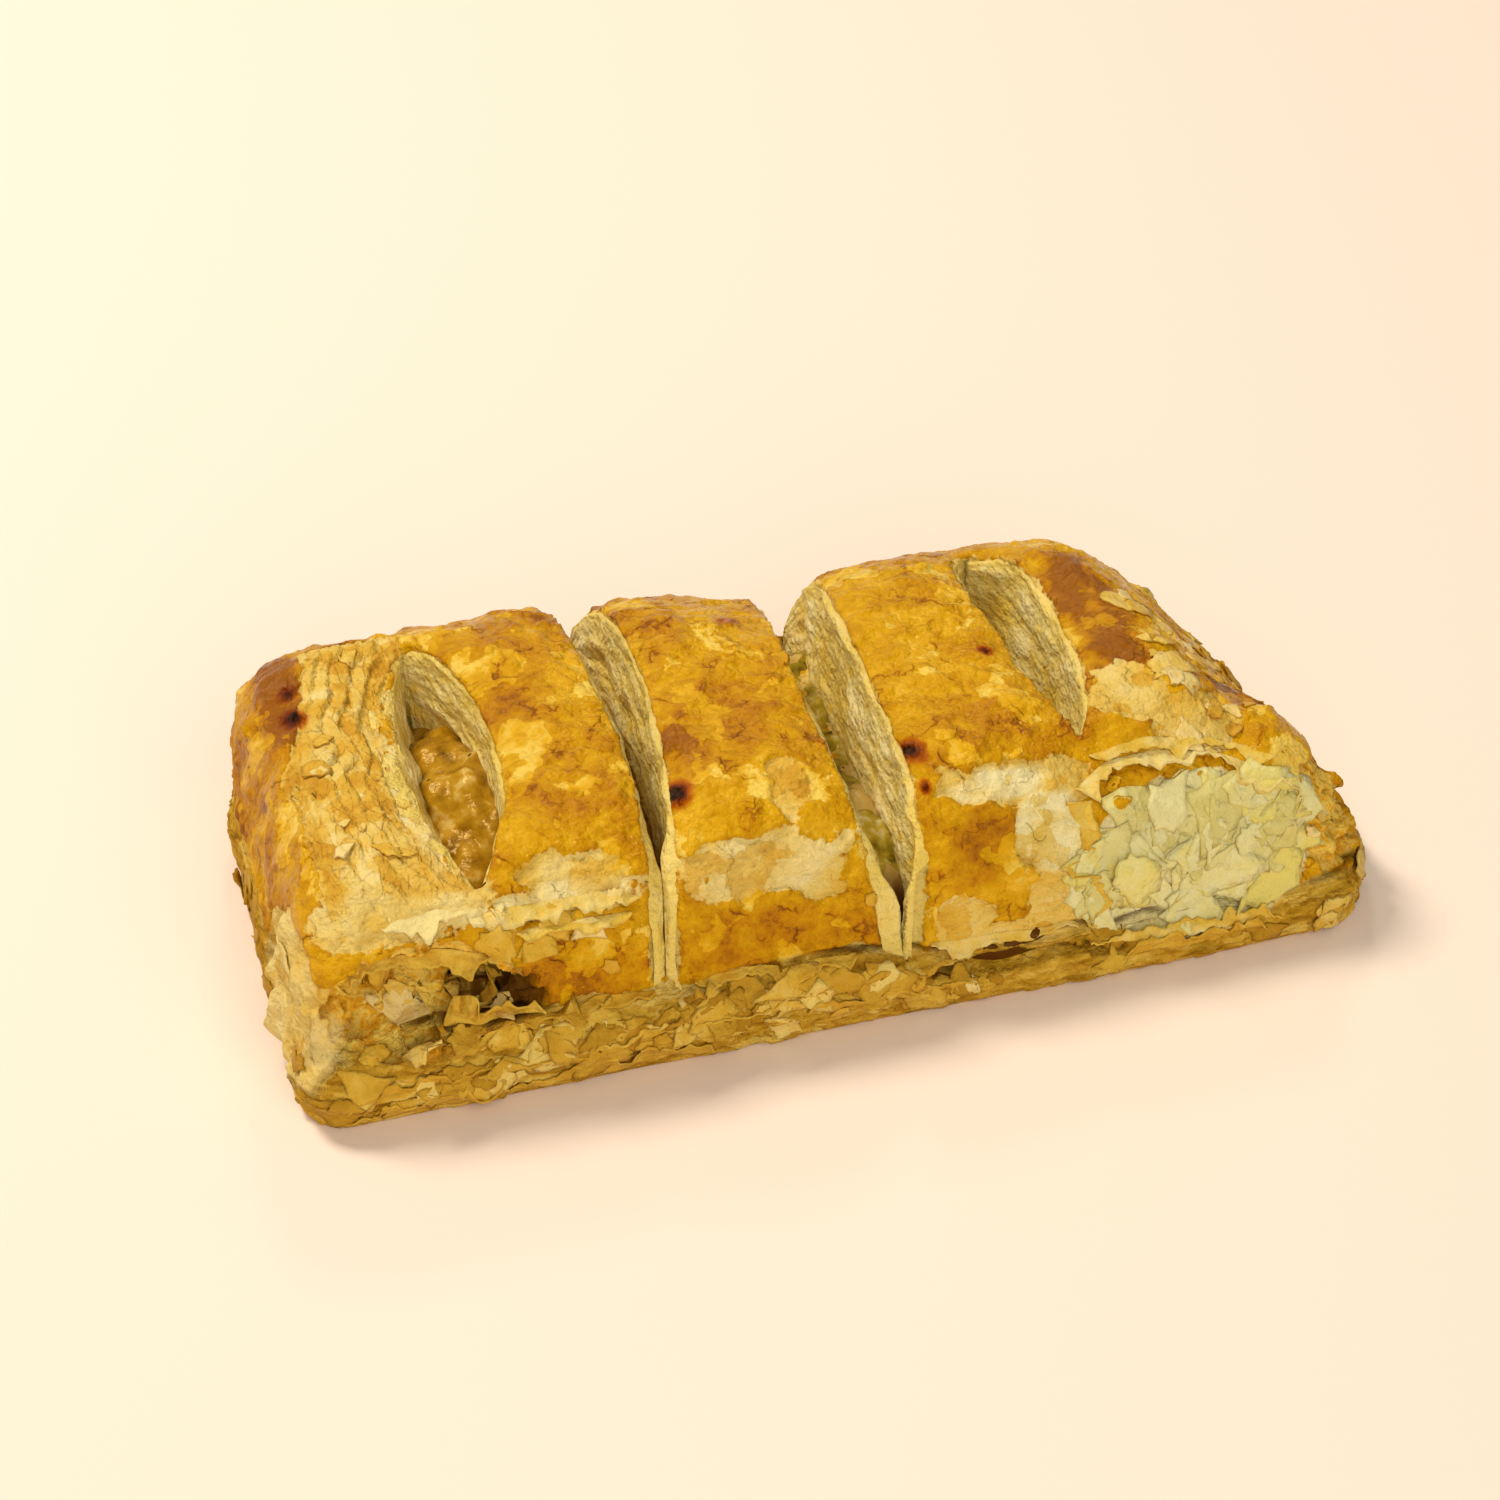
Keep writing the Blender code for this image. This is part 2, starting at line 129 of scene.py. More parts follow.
class Slash:
    """One cut across the lid, in mm: its middle line, ends and half widths.

    Its leaves meet again in front of shut_y. It is deepest at a share of its half width from the middle line.
    """

    def __init__(self, x, lean, bend, front, back, halves, shut_y, deepest=0.0):
        self.x, self.lean, self.bend = x, lean, bend
        self.front, self.back, self.halves = front, back, halves
        self.shut_y, self.deepest = shut_y, deepest

    def middle(self, y):
        return self.x + self.lean * y + self.bend * y * y

    def half(self, y):
        t = np.clip((y - self.front) / (self.back - self.front), 0, 1)
        front, middle, back = self.halves
        blend = front * (1 - t) ** 2 + 2 * middle * t * (1 - t) + back * t**2
        return blend * np.sqrt(np.maximum(1 - np.abs(2 * t - 1) ** 7, 0))

    def clearance(self, x, y):
        """Distance from the cut's edge, 0 inside it."""
        beyond = y - np.clip(y, self.front, self.back)
        return np.hypot(np.maximum(np.abs(x - self.middle(y)) - self.half(y), 0), beyond)


SLASHES = (
    Slash(-45.6, 0.02, 0.0, -25, 22, (1.5, 12.2, 2), -40, 0.62),
    Slash(-20.6, 0.045, -0.003, -35.5, 38, (1.4, 2.8, 4.4), -23),
    Slash(6.0, 0.05, 0.001, -34, 38, (4.4, 4.6, 4.6), -33),
    Slash(34.0, 0.0, -0.003, -21, 22, (1.2, 6.8, 4), -40),
)

# How far back the leaves of a slash's walls run.
LID_BACK = 35.2

# Where the glaze has flaked off and pale leaves show: centre and radii.
BARE = (
    ((-12, -28.6, 23.8), (9.5, 2.9, 4.2)),
    ((-6, -29.4, 22), (4.5, 3, 3.4)),
    ((-6.2, -21.5, 29.5), (2.4, 4, 3)),
    ((20.5, -24.9, 26.6), (8.5, 2.3, 3)),
    ((28, -25.6, 25.4), (5.5, 3.4, 3.4)),
    ((25.8, -30, 19.5), (4.4, 3.5, 6)),
    ((13.5, -32.5, 12), (4.5, 3, 3)),
    ((27, -32.5, 12), (6, 4, 6.5)),
    ((20, -34, 9), (10, 3.5, 2.6)),
    ((-35.5, -25.8, 26.4), (5.6, 2.6, 3.2)),
    ((41.5, -16.5, 29), (5, 5, 4)),
    ((48.5, -21, 27), (7, 4, 4.5)),
)
TORN = ((45, -31, 13.5), (15.8, 9, 11.5))
# Cream leaves, and how strongly: over the pocket, on the third band's front and at the first slash's edge.
CREAM = (
    ((-57, -26, 25), (12.5, 4.4, 3), 0.15),
    ((-38, -28.8, 25.2), (11.5, 1.8, 2), 0.6),
    ((26, -29, 20.5), (5, 3.5, 6), 1),
    ((20, -25.5, 26.8), (6, 2, 2), 0.9),
    ((-50.5, -9, 24.5), (2.4, 13, 4), 0.8),
    ((-12, -28.6, 23.8), (9.5, 2.9, 4.2), 0.4),
)
# The pleats round the front left corner.
FOLDS = ((-70.5, -23, 13), (6.5, 13.5, 10))
POCKET = ((-56, -33, 16), (12.5, 7.5, 7.5))
# The craggy brown knob at the front right corner.
KNOB = ((64.5, -28, 14.5), (6, 7, 8))
# A hole beside the pocket: pushed in, and darkened with painted shade.
HOLE = ((-46.5, -32.5, 14.2), (6, 5, 3.2))
AMBER_ISLAND = ((16.8, -29.6, 20.6), (4.9, 4.8, 5.2))
# Where the glaze has baked darker: centre, radii and how much.
DARK = (
    ((-11, -33, 15), (13, 3.2, 4.6), 0.65),
    ((16.8, -29.8, 20.5), (5.2, 4.6, 5.4), 0.6),
    ((-33, -16, 29), (7, 6, 4), 0.7),
    ((-11, -7, 30), (8, 9, 4), 0.5),
    ((-33, 8, 30), (6, 8, 4), 0.3),
    ((-36, -32.5, 16), (9, 4, 6), 0.45),
    ((-15, 20, 29.5), (8, 8, 5), 0.4),
    ((-17, -12, 30), (4, 5, 4), 0.35),
    ((14, 27, 28), (7, 7, 6), 0.6),
    ((-30, 24, 28), (8, 8, 6), 0.45),
    ((22, -16, 30), (9, 3, 4), 0.15),
    ((43, 2, 30.5), (4.2, 19, 4), 1.15),
    ((53, -14, 27.5), (4, 6, 4), 0.4),
    ((-62, 14, 27.5), (4, 13, 5), 1.3),
    ((-69, 4, 20), (6, 26, 10), 0.6),
    ((57, -16, 24.5), (5, 8, 5), 0.6),
    ((59, 4, 23), (6, 18, 7), 0.85),
)
# Burnt blisters: centre and radius.
BURNS = (
    ((-19.8, -18.7, 29.4), 1.5),
    ((10.6, -19.7, 29.4), 1.3),
    ((11.2, -24, 27.2), 0.6),
    ((-3.2, 14, 30.3), 1.1),
    ((26.2, -3.4, 30.4), 0.7),
    ((33, -1, 30), 0.6),
    ((-61.5, 11, 27.8), 1.2),
    ((-61, 15.5, 28), 0.9),
    ((-61.3, 5, 27.2), 0.6),
)
# Heaps of filling: height, place and half width along x, and the same along y.
HEAPS = ((2.2, -41, 6, 1, 13), (3.2, -43, 6, 13, 8), (5, 5.2, 5, -17, 12))
# What the crust's material reads at each corner.
CRUST_FIELDS = (
    "skin", "browning", "burn", "wall", "base", "torn", "crevice_shade", "pocket", "shade", "terrace", "cream"
)
# Lamps: name, place, size, power and colour.
LAMPS = (
    ("key", (-0.4, 0.42, 0.85), 0.27, 7.9, "#FFF6EA"),
    ("glint", (0.2, 0.75, 0.62), 0.13, 1.1, "#FFFAF2"),
    ("fill", (-0.05, -0.95, 0.65), 1.0, 8.4, "#FFFAF2"),
)
# Strips of torn leaf that hang from the crust: the root's path, width, lift, heading (1 up, -1 down),
# how closely it hugs the crust, and tone.
STRIPS = (
    # Over the torn patch.
    (((30, -26.5, 24.5), (35, -24.5, 26.5), (42, -24, 26.5), (50, -25.5, 25), (58, -28, 21.5),
      (61, -30, 17)), 3.6, 1, -1, 0.7, 0.75),
    (((33, -23.5, 27), (41, -22.5, 27.5), (50, -23.5, 26), (57, -26, 23.5)), 3, 0.5, -1, 0.8, 0.6),
    (((28, -27, 23), (30, -29.5, 19), (29.5, -32, 14), (31, -34, 9)), 3.2, 0.7, 1, 0.8, 0.5),
    # The lip below the patch.
    (((30, -34.5, 5.5), (38, -35.5, 4.8), (46, -36, 4.6), (56, -35.5, 4.8)), 2.8, 1, 1, 0.7, 0.55),
    (((34, -35.5, 3.2), (44, -36, 3), (54, -36, 3.4)), 2.6, 0.6, 1, 0.8, 0.35),
    # The cream ledge over the pocket, and the folds on the face beside it.
    (((-68, -20, 22), (-65, -25, 24), (-58, -27, 26), (-50, -27.2, 26),
      (-44, -28, 25.4)), 3.8, 0.5, -1, 0, 0.95),
    (((-46, -28.3, 25), (-38, -28.6, 24.8), (-30, -28.6, 24.8), (-27.6, -29.5, 23.5)), 3, 0.9, -1, 0.7, 0.7),
    (((-66, -31, 20), (-60, -30, 21.5), (-53, -30, 21.5), (-47, -30.5, 20)), 3.4, 1.8, -1, 0.5, 0.5),
    (((-53, -34, 13.5), (-48, -34.5, 13), (-41, -34.5, 12.6)), 3.4, 2, 1, 0.5, 0.45),
    (((-43.5, -30.2, 22.6), (-36, -30.4, 22.8), (-29, -30.6, 22.4)), 2.2, 1.2, -1, 0.7, 0.55),
    (((-69, -16, 17), (-68.5, -22, 15), (-67, -27, 13)), 4, 0.6, 1, 0.8, 0.8),
    # Along the seam, under the bands.
    (((-22, -33.8, 12), (-12, -34, 12), (-1, -34, 11.6)), 2.2, 0.8, -1, 0.8, 0.4),
    (((9, -33.8, 10), (18, -34, 9.4), (29, -34.4, 8.6)), 2.4, 0.8, -1, 0.8, 0.65),
    (((-44, -34.5, 12), (-36, -34.5, 12.4), (-27, -34, 12)), 2, 0.8, -1, 0.8, 0.3),
    # The dry sheet that wraps the base.
    (((-66, -34, 1), (-50, -36, 1), (-34, -36.2, 1), (-20, -36.2, 1.2)), 4.6, 0.35, 1, 0.95, 0.35),
    (((-66, -35, 5), (-48, -36, 5.4), (-34, -36, 5)), 2.6, 0.6, 1, 0.9, 0.3),
    (((-36, -36, 6), (-22, -36, 6.2), (-6, -36, 6.4)), 2.4, 0.6, 1, 0.9, 0.5),
    (((-8, -36, 5), (4, -36, 4.6), (14, -36, 4.2)), 2.2, 0.6, 1, 0.9, 0.35),
)


class PuffSettings(bpy.types.PropertyGroup):
    """Sizes and colours of the puff's leaves, glaze and filling."""

    voxel: FloatProperty(
        name="Crust detail", description="Size of the crust's own faces", default=0.00042, unit="LENGTH"
    )
    leaf_pitch: FloatProperty(
        name="Leaf pitch", description="Height of one leaf of the dough", default=0.0011, unit="LENGTH"
    )
    seed: IntProperty(name="Seed", description="Chooses where the loose leaves fall", default=5)
    gold: FloatVectorProperty(
        name="Gold", description="Egg wash, as most of it bakes",
        subtype="COLOR", size=4, default=linear("#D0990A"),
    )
    amber: FloatVectorProperty(
        name="Amber", description="Egg wash where it lay thick",
        subtype="COLOR", size=4, default=linear("#B97907"),
    )
    cream: FloatVectorProperty(
        name="Cream", description="Inner leaves", subtype="COLOR", size=4, default=linear("#E2CE80")
    )
    tan: FloatVectorProperty(
        name="Tan", description="Dry leaves of the base", subtype="COLOR", size=4, default=linear("#B68921")
    )


# Mesh helpers


def read(mesh, what):
    """One vector a vertex, as an array."""
    values = np.empty(len(mesh.vertices) * 3, np.float32)
    mesh.vertices.foreach_get(what, values)
    return values.reshape(-1, 3).astype(float)


def corners_of(mesh):
    return read(mesh, "co") / MM


def move_corners(mesh, points):
    mesh.vertices.foreach_set("co", (points * MM).astype(np.float32).ravel())
    mesh.update()


def note(mesh, name, values):
    """Keeps one number a vertex for the materials to read."""
    layer = mesh.attributes.get(name) or mesh.attributes.new(name, "FLOAT", "POINT")
    layer.data.foreach_set("value", np.asarray(values, np.float32))


def evened(mesh, points, rounds, share):
    """Points after rounds of moving each towards its neighbours' mean, by its share."""
    ends = np.empty(len(mesh.edges) * 2, np.int32)
    mesh.edges.foreach_get("vertices", ends)
    first, second = ends.reshape(-1, 2).T
    count = len(points)
    met = np.bincount(first, minlength=count) + np.bincount(second, minlength=count)
    met = np.maximum(met, 1)[:, None]
    for _ in range(rounds):
        total = [
            np.bincount(first, along[second], count) + np.bincount(second, along[first], count)
            for along in points.T
        ]
        points = points + (np.stack(total, axis=1) / met - points) * share[:, None]
    return points


def mesh_of(name, bm):
    """A new mesh from a bmesh, which it frees."""
    mesh = bpy.data.meshes.new(name)
    bm.to_mesh(mesh)
    bm.free()
    return mesh


def pour(bm, mesh):
    """Adds a mesh to a bmesh, and removes the mesh."""
    bm.from_mesh(mesh)
    bpy.data.meshes.remove(mesh)


def smoothed(bm, verts, factor):
    bmesh.ops.smooth_vert(bm, verts=verts, factor=factor, use_axis_x=True, use_axis_y=True, use_axis_z=True)


def new_object(name, shape):
    """A smooth-shaded object of a mesh or a bmesh."""
    mesh = mesh_of(name, shape) if isinstance(shape, bmesh.types.BMesh) else shape
    mesh.name = name
    obj = bpy.data.objects.new(name, mesh)
    bpy.context.scene.collection.objects.link(obj)
    mesh.shade_smooth()
    return obj


def placed(name, data, place, facing):
    """A lamp or camera at its place, looking the way it faces."""
    obj = bpy.data.objects.new(name, data)
    obj.location = place
    obj.rotation_mode = "QUATERNION"
    obj.rotation_quaternion = Vector(facing).to_track_quat("-Z", "Y")
    bpy.context.scene.collection.objects.link(obj)
    return obj


def settle(obj, node, material):
    """Finishes a piece: gives it its material, sets it on the root body and hides the solid it stands for."""
    obj.data.materials.clear()
    obj.data.materials.append(material)
    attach(obj, "root")
    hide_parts(node)


def merged_copy(node, grow=0.0):
    """A bmesh of a node with its loose triangles joined, grown along its normals by some mm."""
    bm = bmesh.new()
    bm.from_mesh(frame["nodes"][node].data)
    bmesh.ops.remove_doubles(bm, verts=bm.verts, dist=1e-6)
    bm.normal_update()
    for vert in bm.verts:
        vert.co += vert.normal * grow * MM
    return bm


def remeshed(name, bm, voxel):
    """A new mesh of even faces over a closed bmesh."""
    rough_obj = new_object(name, bm)
    modifier = rough_obj.modifiers.new("even faces", "REMESH")
    modifier.mode = "VOXEL"
    modifier.voxel_size = voxel
    graph = bpy.context.evaluated_depsgraph_get()
    mesh = bpy.data.meshes.new_from_object(rough_obj.evaluated_get(graph))
    bpy.data.objects.remove(rough_obj)
    return mesh


def tree_of(bm):
    """A search tree over a bmesh's faces, which it frees."""
    tree = BVHTree.FromBMesh(bm)
    bm.free()
    return tree


# Materials


def add(tree, kind, inputs=None, stops=(), out=0, **settings):
    """Adds a shader node with its settings, ramp stops and inputs, set or linked, and gives one output of it.

    A colour may be a hex code.
    """
    made = tree.nodes.new("ShaderNode" + kind)
    for name, value in settings.items():
        setattr(made, name, value)
    for key, value in (inputs or {}).items():
        if isinstance(value, bpy.types.NodeSocket):
            tree.links.new(value, made.inputs[key])
        else:
            made.inputs[key].default_value = linear(value) if isinstance(value, str) else value
    for index, (place, colour) in enumerate(stops):
        elements = made.color_ramp.elements
        element = elements[index] if index < 2 else elements.new(place)
        element.position, element.color = place, linear(colour) if isinstance(colour, str) else colour
    return made.outputs[out]


# Butter and egg tint every reflection off the pastry.
WARM_SHINE = linear("#F2CE74")


def new_material(name, **uniform):
    """A Principled material, its tree and its shader, with the uniform sockets set."""
    material = bpy.data.materials.new(name)
    material.use_nodes = True
    shader = material.node_tree.nodes["Principled BSDF"]
    for key, value in uniform.items():
        shader.inputs[key.replace("_", " ")].default_value = value
    return material, material.node_tree, shader


def wire(tree, shader, sockets):
    """Links each output to the shader's socket of that name."""
    for name, output in sockets.items():
        tree.links.new(output, shader.inputs[name])


def crust_material(settings):
    """Baked puff pastry: egg-washed skin that shines gold to amber, and dry matt leaves where it is broken.

    The skin bakes in overlapping sheets, each its own tone with a darker edge, partly browning and partly
    painted shade under the step, and the bare leaves crack
    into plates: long ones on the terraces, level chips round the base. Creases and recesses are darkened with
    painted shade, and the skin's torn rim partly so.
    """
    material, tree, shader = new_material(
        "egg_washed_crust", IOR=1.42, Specular_IOR_Level=0.3, Specular_Tint=WARM_SHINE
    )
    place = add(tree, "TexCoord", out="Object")
    skin, browning, burn, wall, base, torn, crevice_shade, pocket, shade, terrace, cream = (
        add(tree, "Attribute", attribute_name=name, out="Fac") for name in CRUST_FIELDS
    )
    stir = add(tree, "TexNoise", {"Vector": place, "Scale": 1 / 0.0032, "Detail": 3.0}, out="Color")
    warped = add(tree, "VectorMath", {0: stir, 1: (0.0016,) * 3, 2: place}, operation="MULTIPLY_ADD")
    flat, long, level = (
        add(tree, "Mapping", {"Vector": warped, "Scale": scale})
        for scale in ((0.3, 0.3, 1.0), (0.85, 0.2, 0.3), (0.26, 0.26, 0.8))
    )
    grain, mottle, blot, streak, layered, crease_groove_and_shade = (
        add(tree, "TexNoise", {"Vector": vector, "Scale": 1 / size, "Detail": detail})
        for vector, size, detail in (
            (place, 0.0009, 4.0),
            (place, 0.0038, 6.0),
            (place, 0.010, 2.0),
            (flat, 0.0009, 4.0),
            (warped, 0.008, 4.0),
            (warped, 0.011, 5.0),
        )
    )

    # Overlapping sheets, and the creases between them. Each sheet's edge is darker, partly browning and
    # partly painted shade under its step; each crease is a groove darkened with painted shade.
    layered = add(tree, "Math", {0: layered, 1: 7.0}, operation="MULTIPLY")
    sheet, sheet_part = (add(tree, "Math", {0: layered}, operation=kind) for kind in ("FLOOR", "FRACT"))
    sheet_tone = add(tree, "TexWhiteNoise", {"W": sheet}, noise_dimensions="1D")
    crease_groove_and_shade = add(tree, "Math", {0: crease_groove_and_shade, 1: 0.5}, operation="SUBTRACT")
    crease_groove_and_shade = add(tree, "Math", {0: crease_groove_and_shade}, operation="ABSOLUTE")
    worn, sheet_edge_browning_and_shade, crease_groove_and_shade = (
        add(tree, "MapRange", {"Value": value, "From Min": start, "From Max": end})
        for value, start, end in ((mottle, 0.46, 0.58), (sheet_part, 0.12, 0.0), (crease_groove_and_shade, 0.014, 0.0))
    )
    sheet_edge_browning_and_shade, crease_groove_and_shade = (
        add(tree, "Math", {0: value, 1: worn}, operation="MULTIPLY") for value in (sheet_edge_browning_and_shade, crease_groove_and_shade)
    )

    # Plates of the bare leaves, and the cracks round them.
    plates = add(tree, "Mix", {0: base, 4: long, 5: level}, data_type="VECTOR", out=1)
    plates = {"Vector": plates, "Scale": 1 / 0.0019}
    plate_tone = add(tree, "SeparateColor", {"Color": add(tree, "TexVoronoi", plates, out="Color")})
    gap = add(tree, "TexVoronoi", plates, feature="DISTANCE_TO_EDGE")
    ragged = add(tree, "Math", {0: grain, 1: 1.3, 2: skin}, operation="MULTIPLY_ADD")
    height_above = add(tree, "SeparateXYZ", {"Vector": place}, out="Z")
    # rim darkens the glaze towards its torn edge, partly as browning of the thin edge and partly as painted
    # shade.
    crack, shown, on_skin, rim, thin = (
        add(tree, "MapRange", {"Value": value, "From Min": start, "From Max": end})
        for value, start, end in (
            (gap, 0.06, 0.0),
            (grain, 0.4, 0.55),
            (ragged, 0.6, 0.76),
            (ragged, 1.25, 0.6),
            (height_above, 0.027, 0.015),
        )
    )
    broken = add(tree, "Math", {0: terrace, 1: base}, operation="MAXIMUM")
    off_skin = add(tree, "Math", {0: 1.0, 1: on_skin}, operation="SUBTRACT")
    crack = add(tree, "Math", {0: crack, 1: shown}, operation="MULTIPLY")
    spread, crack = (
        add(tree, "Math", {0: value, 1: broken}, operation="MULTIPLY") for value in (plate_tone, crack)
    )
    seam = add(tree, "Math", {0: crack, 1: 0.55}, operation="MULTIPLY")
    lines, stepped = (
        add(tree, "Math", {0: value, 1: off_skin}, operation="MULTIPLY") for value in (streak, spread)
    )

    # Tones of the skin and the leaves, and the fine relief: each a sum of parts by their weights.
    sums = []
    for total, parts in (
        (browning, ((mottle, 0.8), (blot, 0.35), (grain, 0.6), (sheet_tone, 0.34), (sheet_edge_browning_and_shade, 0.3),
                    (rim, 0.1), (crease_groove_and_shade, 0.3), (1.0, -0.6))),
        (shade, ((streak, 0.5), (sheet_tone, 0.3), (spread, 0.28), (1.0, -0.35))),
        (streak, ((plate_tone, 0.3),)),
        (mottle, ((grain, 0.8),)),
        (0.0, ((on_skin, 0.28), (mottle, 1.5), (grain, 0.6), (sheet, 0.08), (crease_groove_and_shade, -0.2), (lines, 0.5),
               (stepped, 0.35), (crack, -0.1))),
    ):
        for part, weight in parts:
            total = add(tree, "Math", {0: part, 1: weight, 2: total}, operation="MULTIPLY_ADD")
        sums.append(total)
    toned, tint, dry_tone, crumb_tone, height = sums
    glaze, colour, dry, green, milky, crumb, scorch = (
        add(tree, "ValToRGB", {"Fac": value}, stops)
        for value, stops in (
            (toned, ((0.2, "#EAC552"), (0.38, "#DDA81C"), (0.53, settings.gold), (0.67, "#C48A08"),
                     (0.8, settings.amber), (0.98, "#94560F"))),
            (tint, ((0.15, "#C8922A"), (0.38, "#D8AA3C"), (0.6, "#E0BE5E"), (0.85, "#E8CF84"))),
            (dry_tone, ((0.36, "#9A6B14"), (0.54, settings.tan), (0.72, "#CDA136"), (0.88, "#DAB955"))),
            (mottle, ((0.35, "#D2C274"), (0.5, "#E0D292"), (0.7, "#ECE2B0"))),
            (tint, ((0.15, "#D8B450"), (0.4, "#E4CC7C"), (0.6, "#EEDFA4"))),
            (crumb_tone, ((0.66, "#B87A10"), (0.82, "#DDA224"), (0.95, "#EAC454"))),
            (burn, ((0.0, "#FFFFFF"), (0.3, "#D99A60"), (0.55, "#8C4420"), (0.75, "#341410"))),
        )
    )
    for share, over in (
        (wall, "#D6BC62"),
        (base, dry),
        (torn, green),
        (cream, milky),
        (pocket, crumb),
        (seam, "#A86E14"),
        (on_skin, glaze),
        # Painted shade: dark brown in the crust's recesses and gaps.
        (crevice_shade, "#4E2C08"),
    ):
        colour = add(tree, "Mix", {0: share, 6: colour, 7: over}, data_type="RGBA", out=2)
    colour = add(tree, "Mix", {0: 1.0, 6: colour, 7: scorch}, data_type="RGBA", blend_type="MULTIPLY", out=2)

    gloss = add(tree, "MapRange", {"Value": on_skin, "To Min": 0.72, "To Max": 0.15})
    gloss = add(tree, "Math", {0: thin, 1: 0.45, 2: gloss}, operation="MULTIPLY_ADD")
    bump = add(tree, "Bump", {"Height": height, "Distance": MM})
    wire(tree, shader, {"Base Color": colour, "Roughness": gloss, "Normal": bump})
    return material


def inner_leaf_material(settings):
    """The cut walls: soft steamed leaves, cream to yellow, streaked along them and a little see-through, with
    painted shade deep in the slash and in the grooves between leaves.
    """
    material, tree, shader = new_material(
        "steamed_leaves",
        IOR=1.4,
        Roughness=0.5,
        Specular_Tint=WARM_SHINE,
        Subsurface_Weight=0.12,
        Subsurface_Scale=0.001,
        Subsurface_Radius=(1.0, 0.8, 0.4),
    )
    place = add(tree, "TexCoord", out="Object")
    depth, leaf = (add(tree, "Attribute", attribute_name=name, out="Fac") for name in ("depth", "leaf"))
    long = add(tree, "Mapping", {"Vector": place, "Scale": (1.0, 0.2, 1.0)})
    streak, grain, blot, speck = (
        add(tree, "TexNoise", {"Vector": vector, "Scale": 1 / size, "Detail": detail})
        for vector, size, detail in (
            (long, 0.0011, 3.0), (place, 0.0009, 3.0), (place, 0.006, 3.0), (place, 0.0022, 4.0)
        )
    )
    speck, yellow, top, low = (
        add(tree, "MapRange", {"Value": value, "From Min": start, "From Max": end})
        for value, start, end in (
            (speck, 0.5, 0.66), (blot, 0.52, 0.68), (depth, 3.0, 0.2), (depth, 9.0, 19.0)
        )
    )
    yellow = add(tree, "Math", {0: yellow, 1: speck}, operation="MAXIMUM")
    tone, height = (
        add(tree, "Math", {0: streak, 1: weight, 2: total}, operation="MULTIPLY_ADD")
        for weight, total in ((0.6, leaf), (0.7, grain))
    )
    stops = (0.2, "#C8A84A"), (0.42, "#DAC26A"), (0.6, settings.cream), (0.85, "#EDDFA2")
    colour = add(tree, "ValToRGB", {"Fac": tone}, stops)
    # Top is the golden, better-baked cut edge; low is painted shade deep in the slash.
    for where, much, over in ((yellow, 0.7, "#DDB93A"), (top, 0.75, "#E6C862"), (low, 0.2, "#C4A54E")):
        share = add(tree, "Math", {0: where, 1: much}, operation="MULTIPLY")
        colour = add(tree, "Mix", {0: share, 6: colour, 7: over}, data_type="RGBA", out=2)
    bump = add(tree, "Bump", {"Height": height, "Distance": 0.7 * MM})
    wire(tree, shader, {"Base Color": colour, "Normal": bump})
    return material


def loose_leaf_material(name, stops, worn, roughness, weight):
    """Broken-off leaves: paper-thin and dry, each its own shade of tone, with an edge colour along the torn
    edge: browning on the dry leaves, painted shade on the pale ones.
    """
    material, tree, shader = new_material(
        name,
        IOR=1.45,
        Roughness=roughness,
        Specular_IOR_Level=0.3,
        Specular_Tint=WARM_SHINE,
        Subsurface_Weight=weight,
        Subsurface_Scale=0.0005,
        Subsurface_Radius=(1.0, 0.7, 0.3),
    )
    place = add(tree, "TexCoord", out="Object")
    tone, edge = (add(tree, "Attribute", attribute_name=key, out="Fac") for key in ("tone", "edge"))
    grain, fine = (
        add(tree, "TexNoise", {"Vector": place, "Scale": 1 / size, "Detail": detail})
        for size, detail in ((0.0022, 4.0), (0.0007, 3.0))
    )
    shade, height = (
        add(tree, "Math", {0: part, 1: share, 2: total}, operation="MULTIPLY_ADD")
        for part, share, total in ((grain, 0.6, tone), (fine, 0.35, grain))
    )
    colour = add(tree, "ValToRGB", {"Fac": shade}, stops)
    rim = add(tree, "MapRange", {"Value": edge, "From Min": 0.8, "From Max": 1.0})
    rim = add(tree, "Math", {0: rim, 1: 0.35}, operation="MULTIPLY")
    colour = add(tree, "Mix", {0: rim, 6: colour, 7: worn}, data_type="RGBA", out=2)
    bump = add(tree, "Bump", {"Height": height, "Distance": 0.8 * MM})
    wire(tree, shader, {"Base Color": colour, "Normal": bump})
    return material


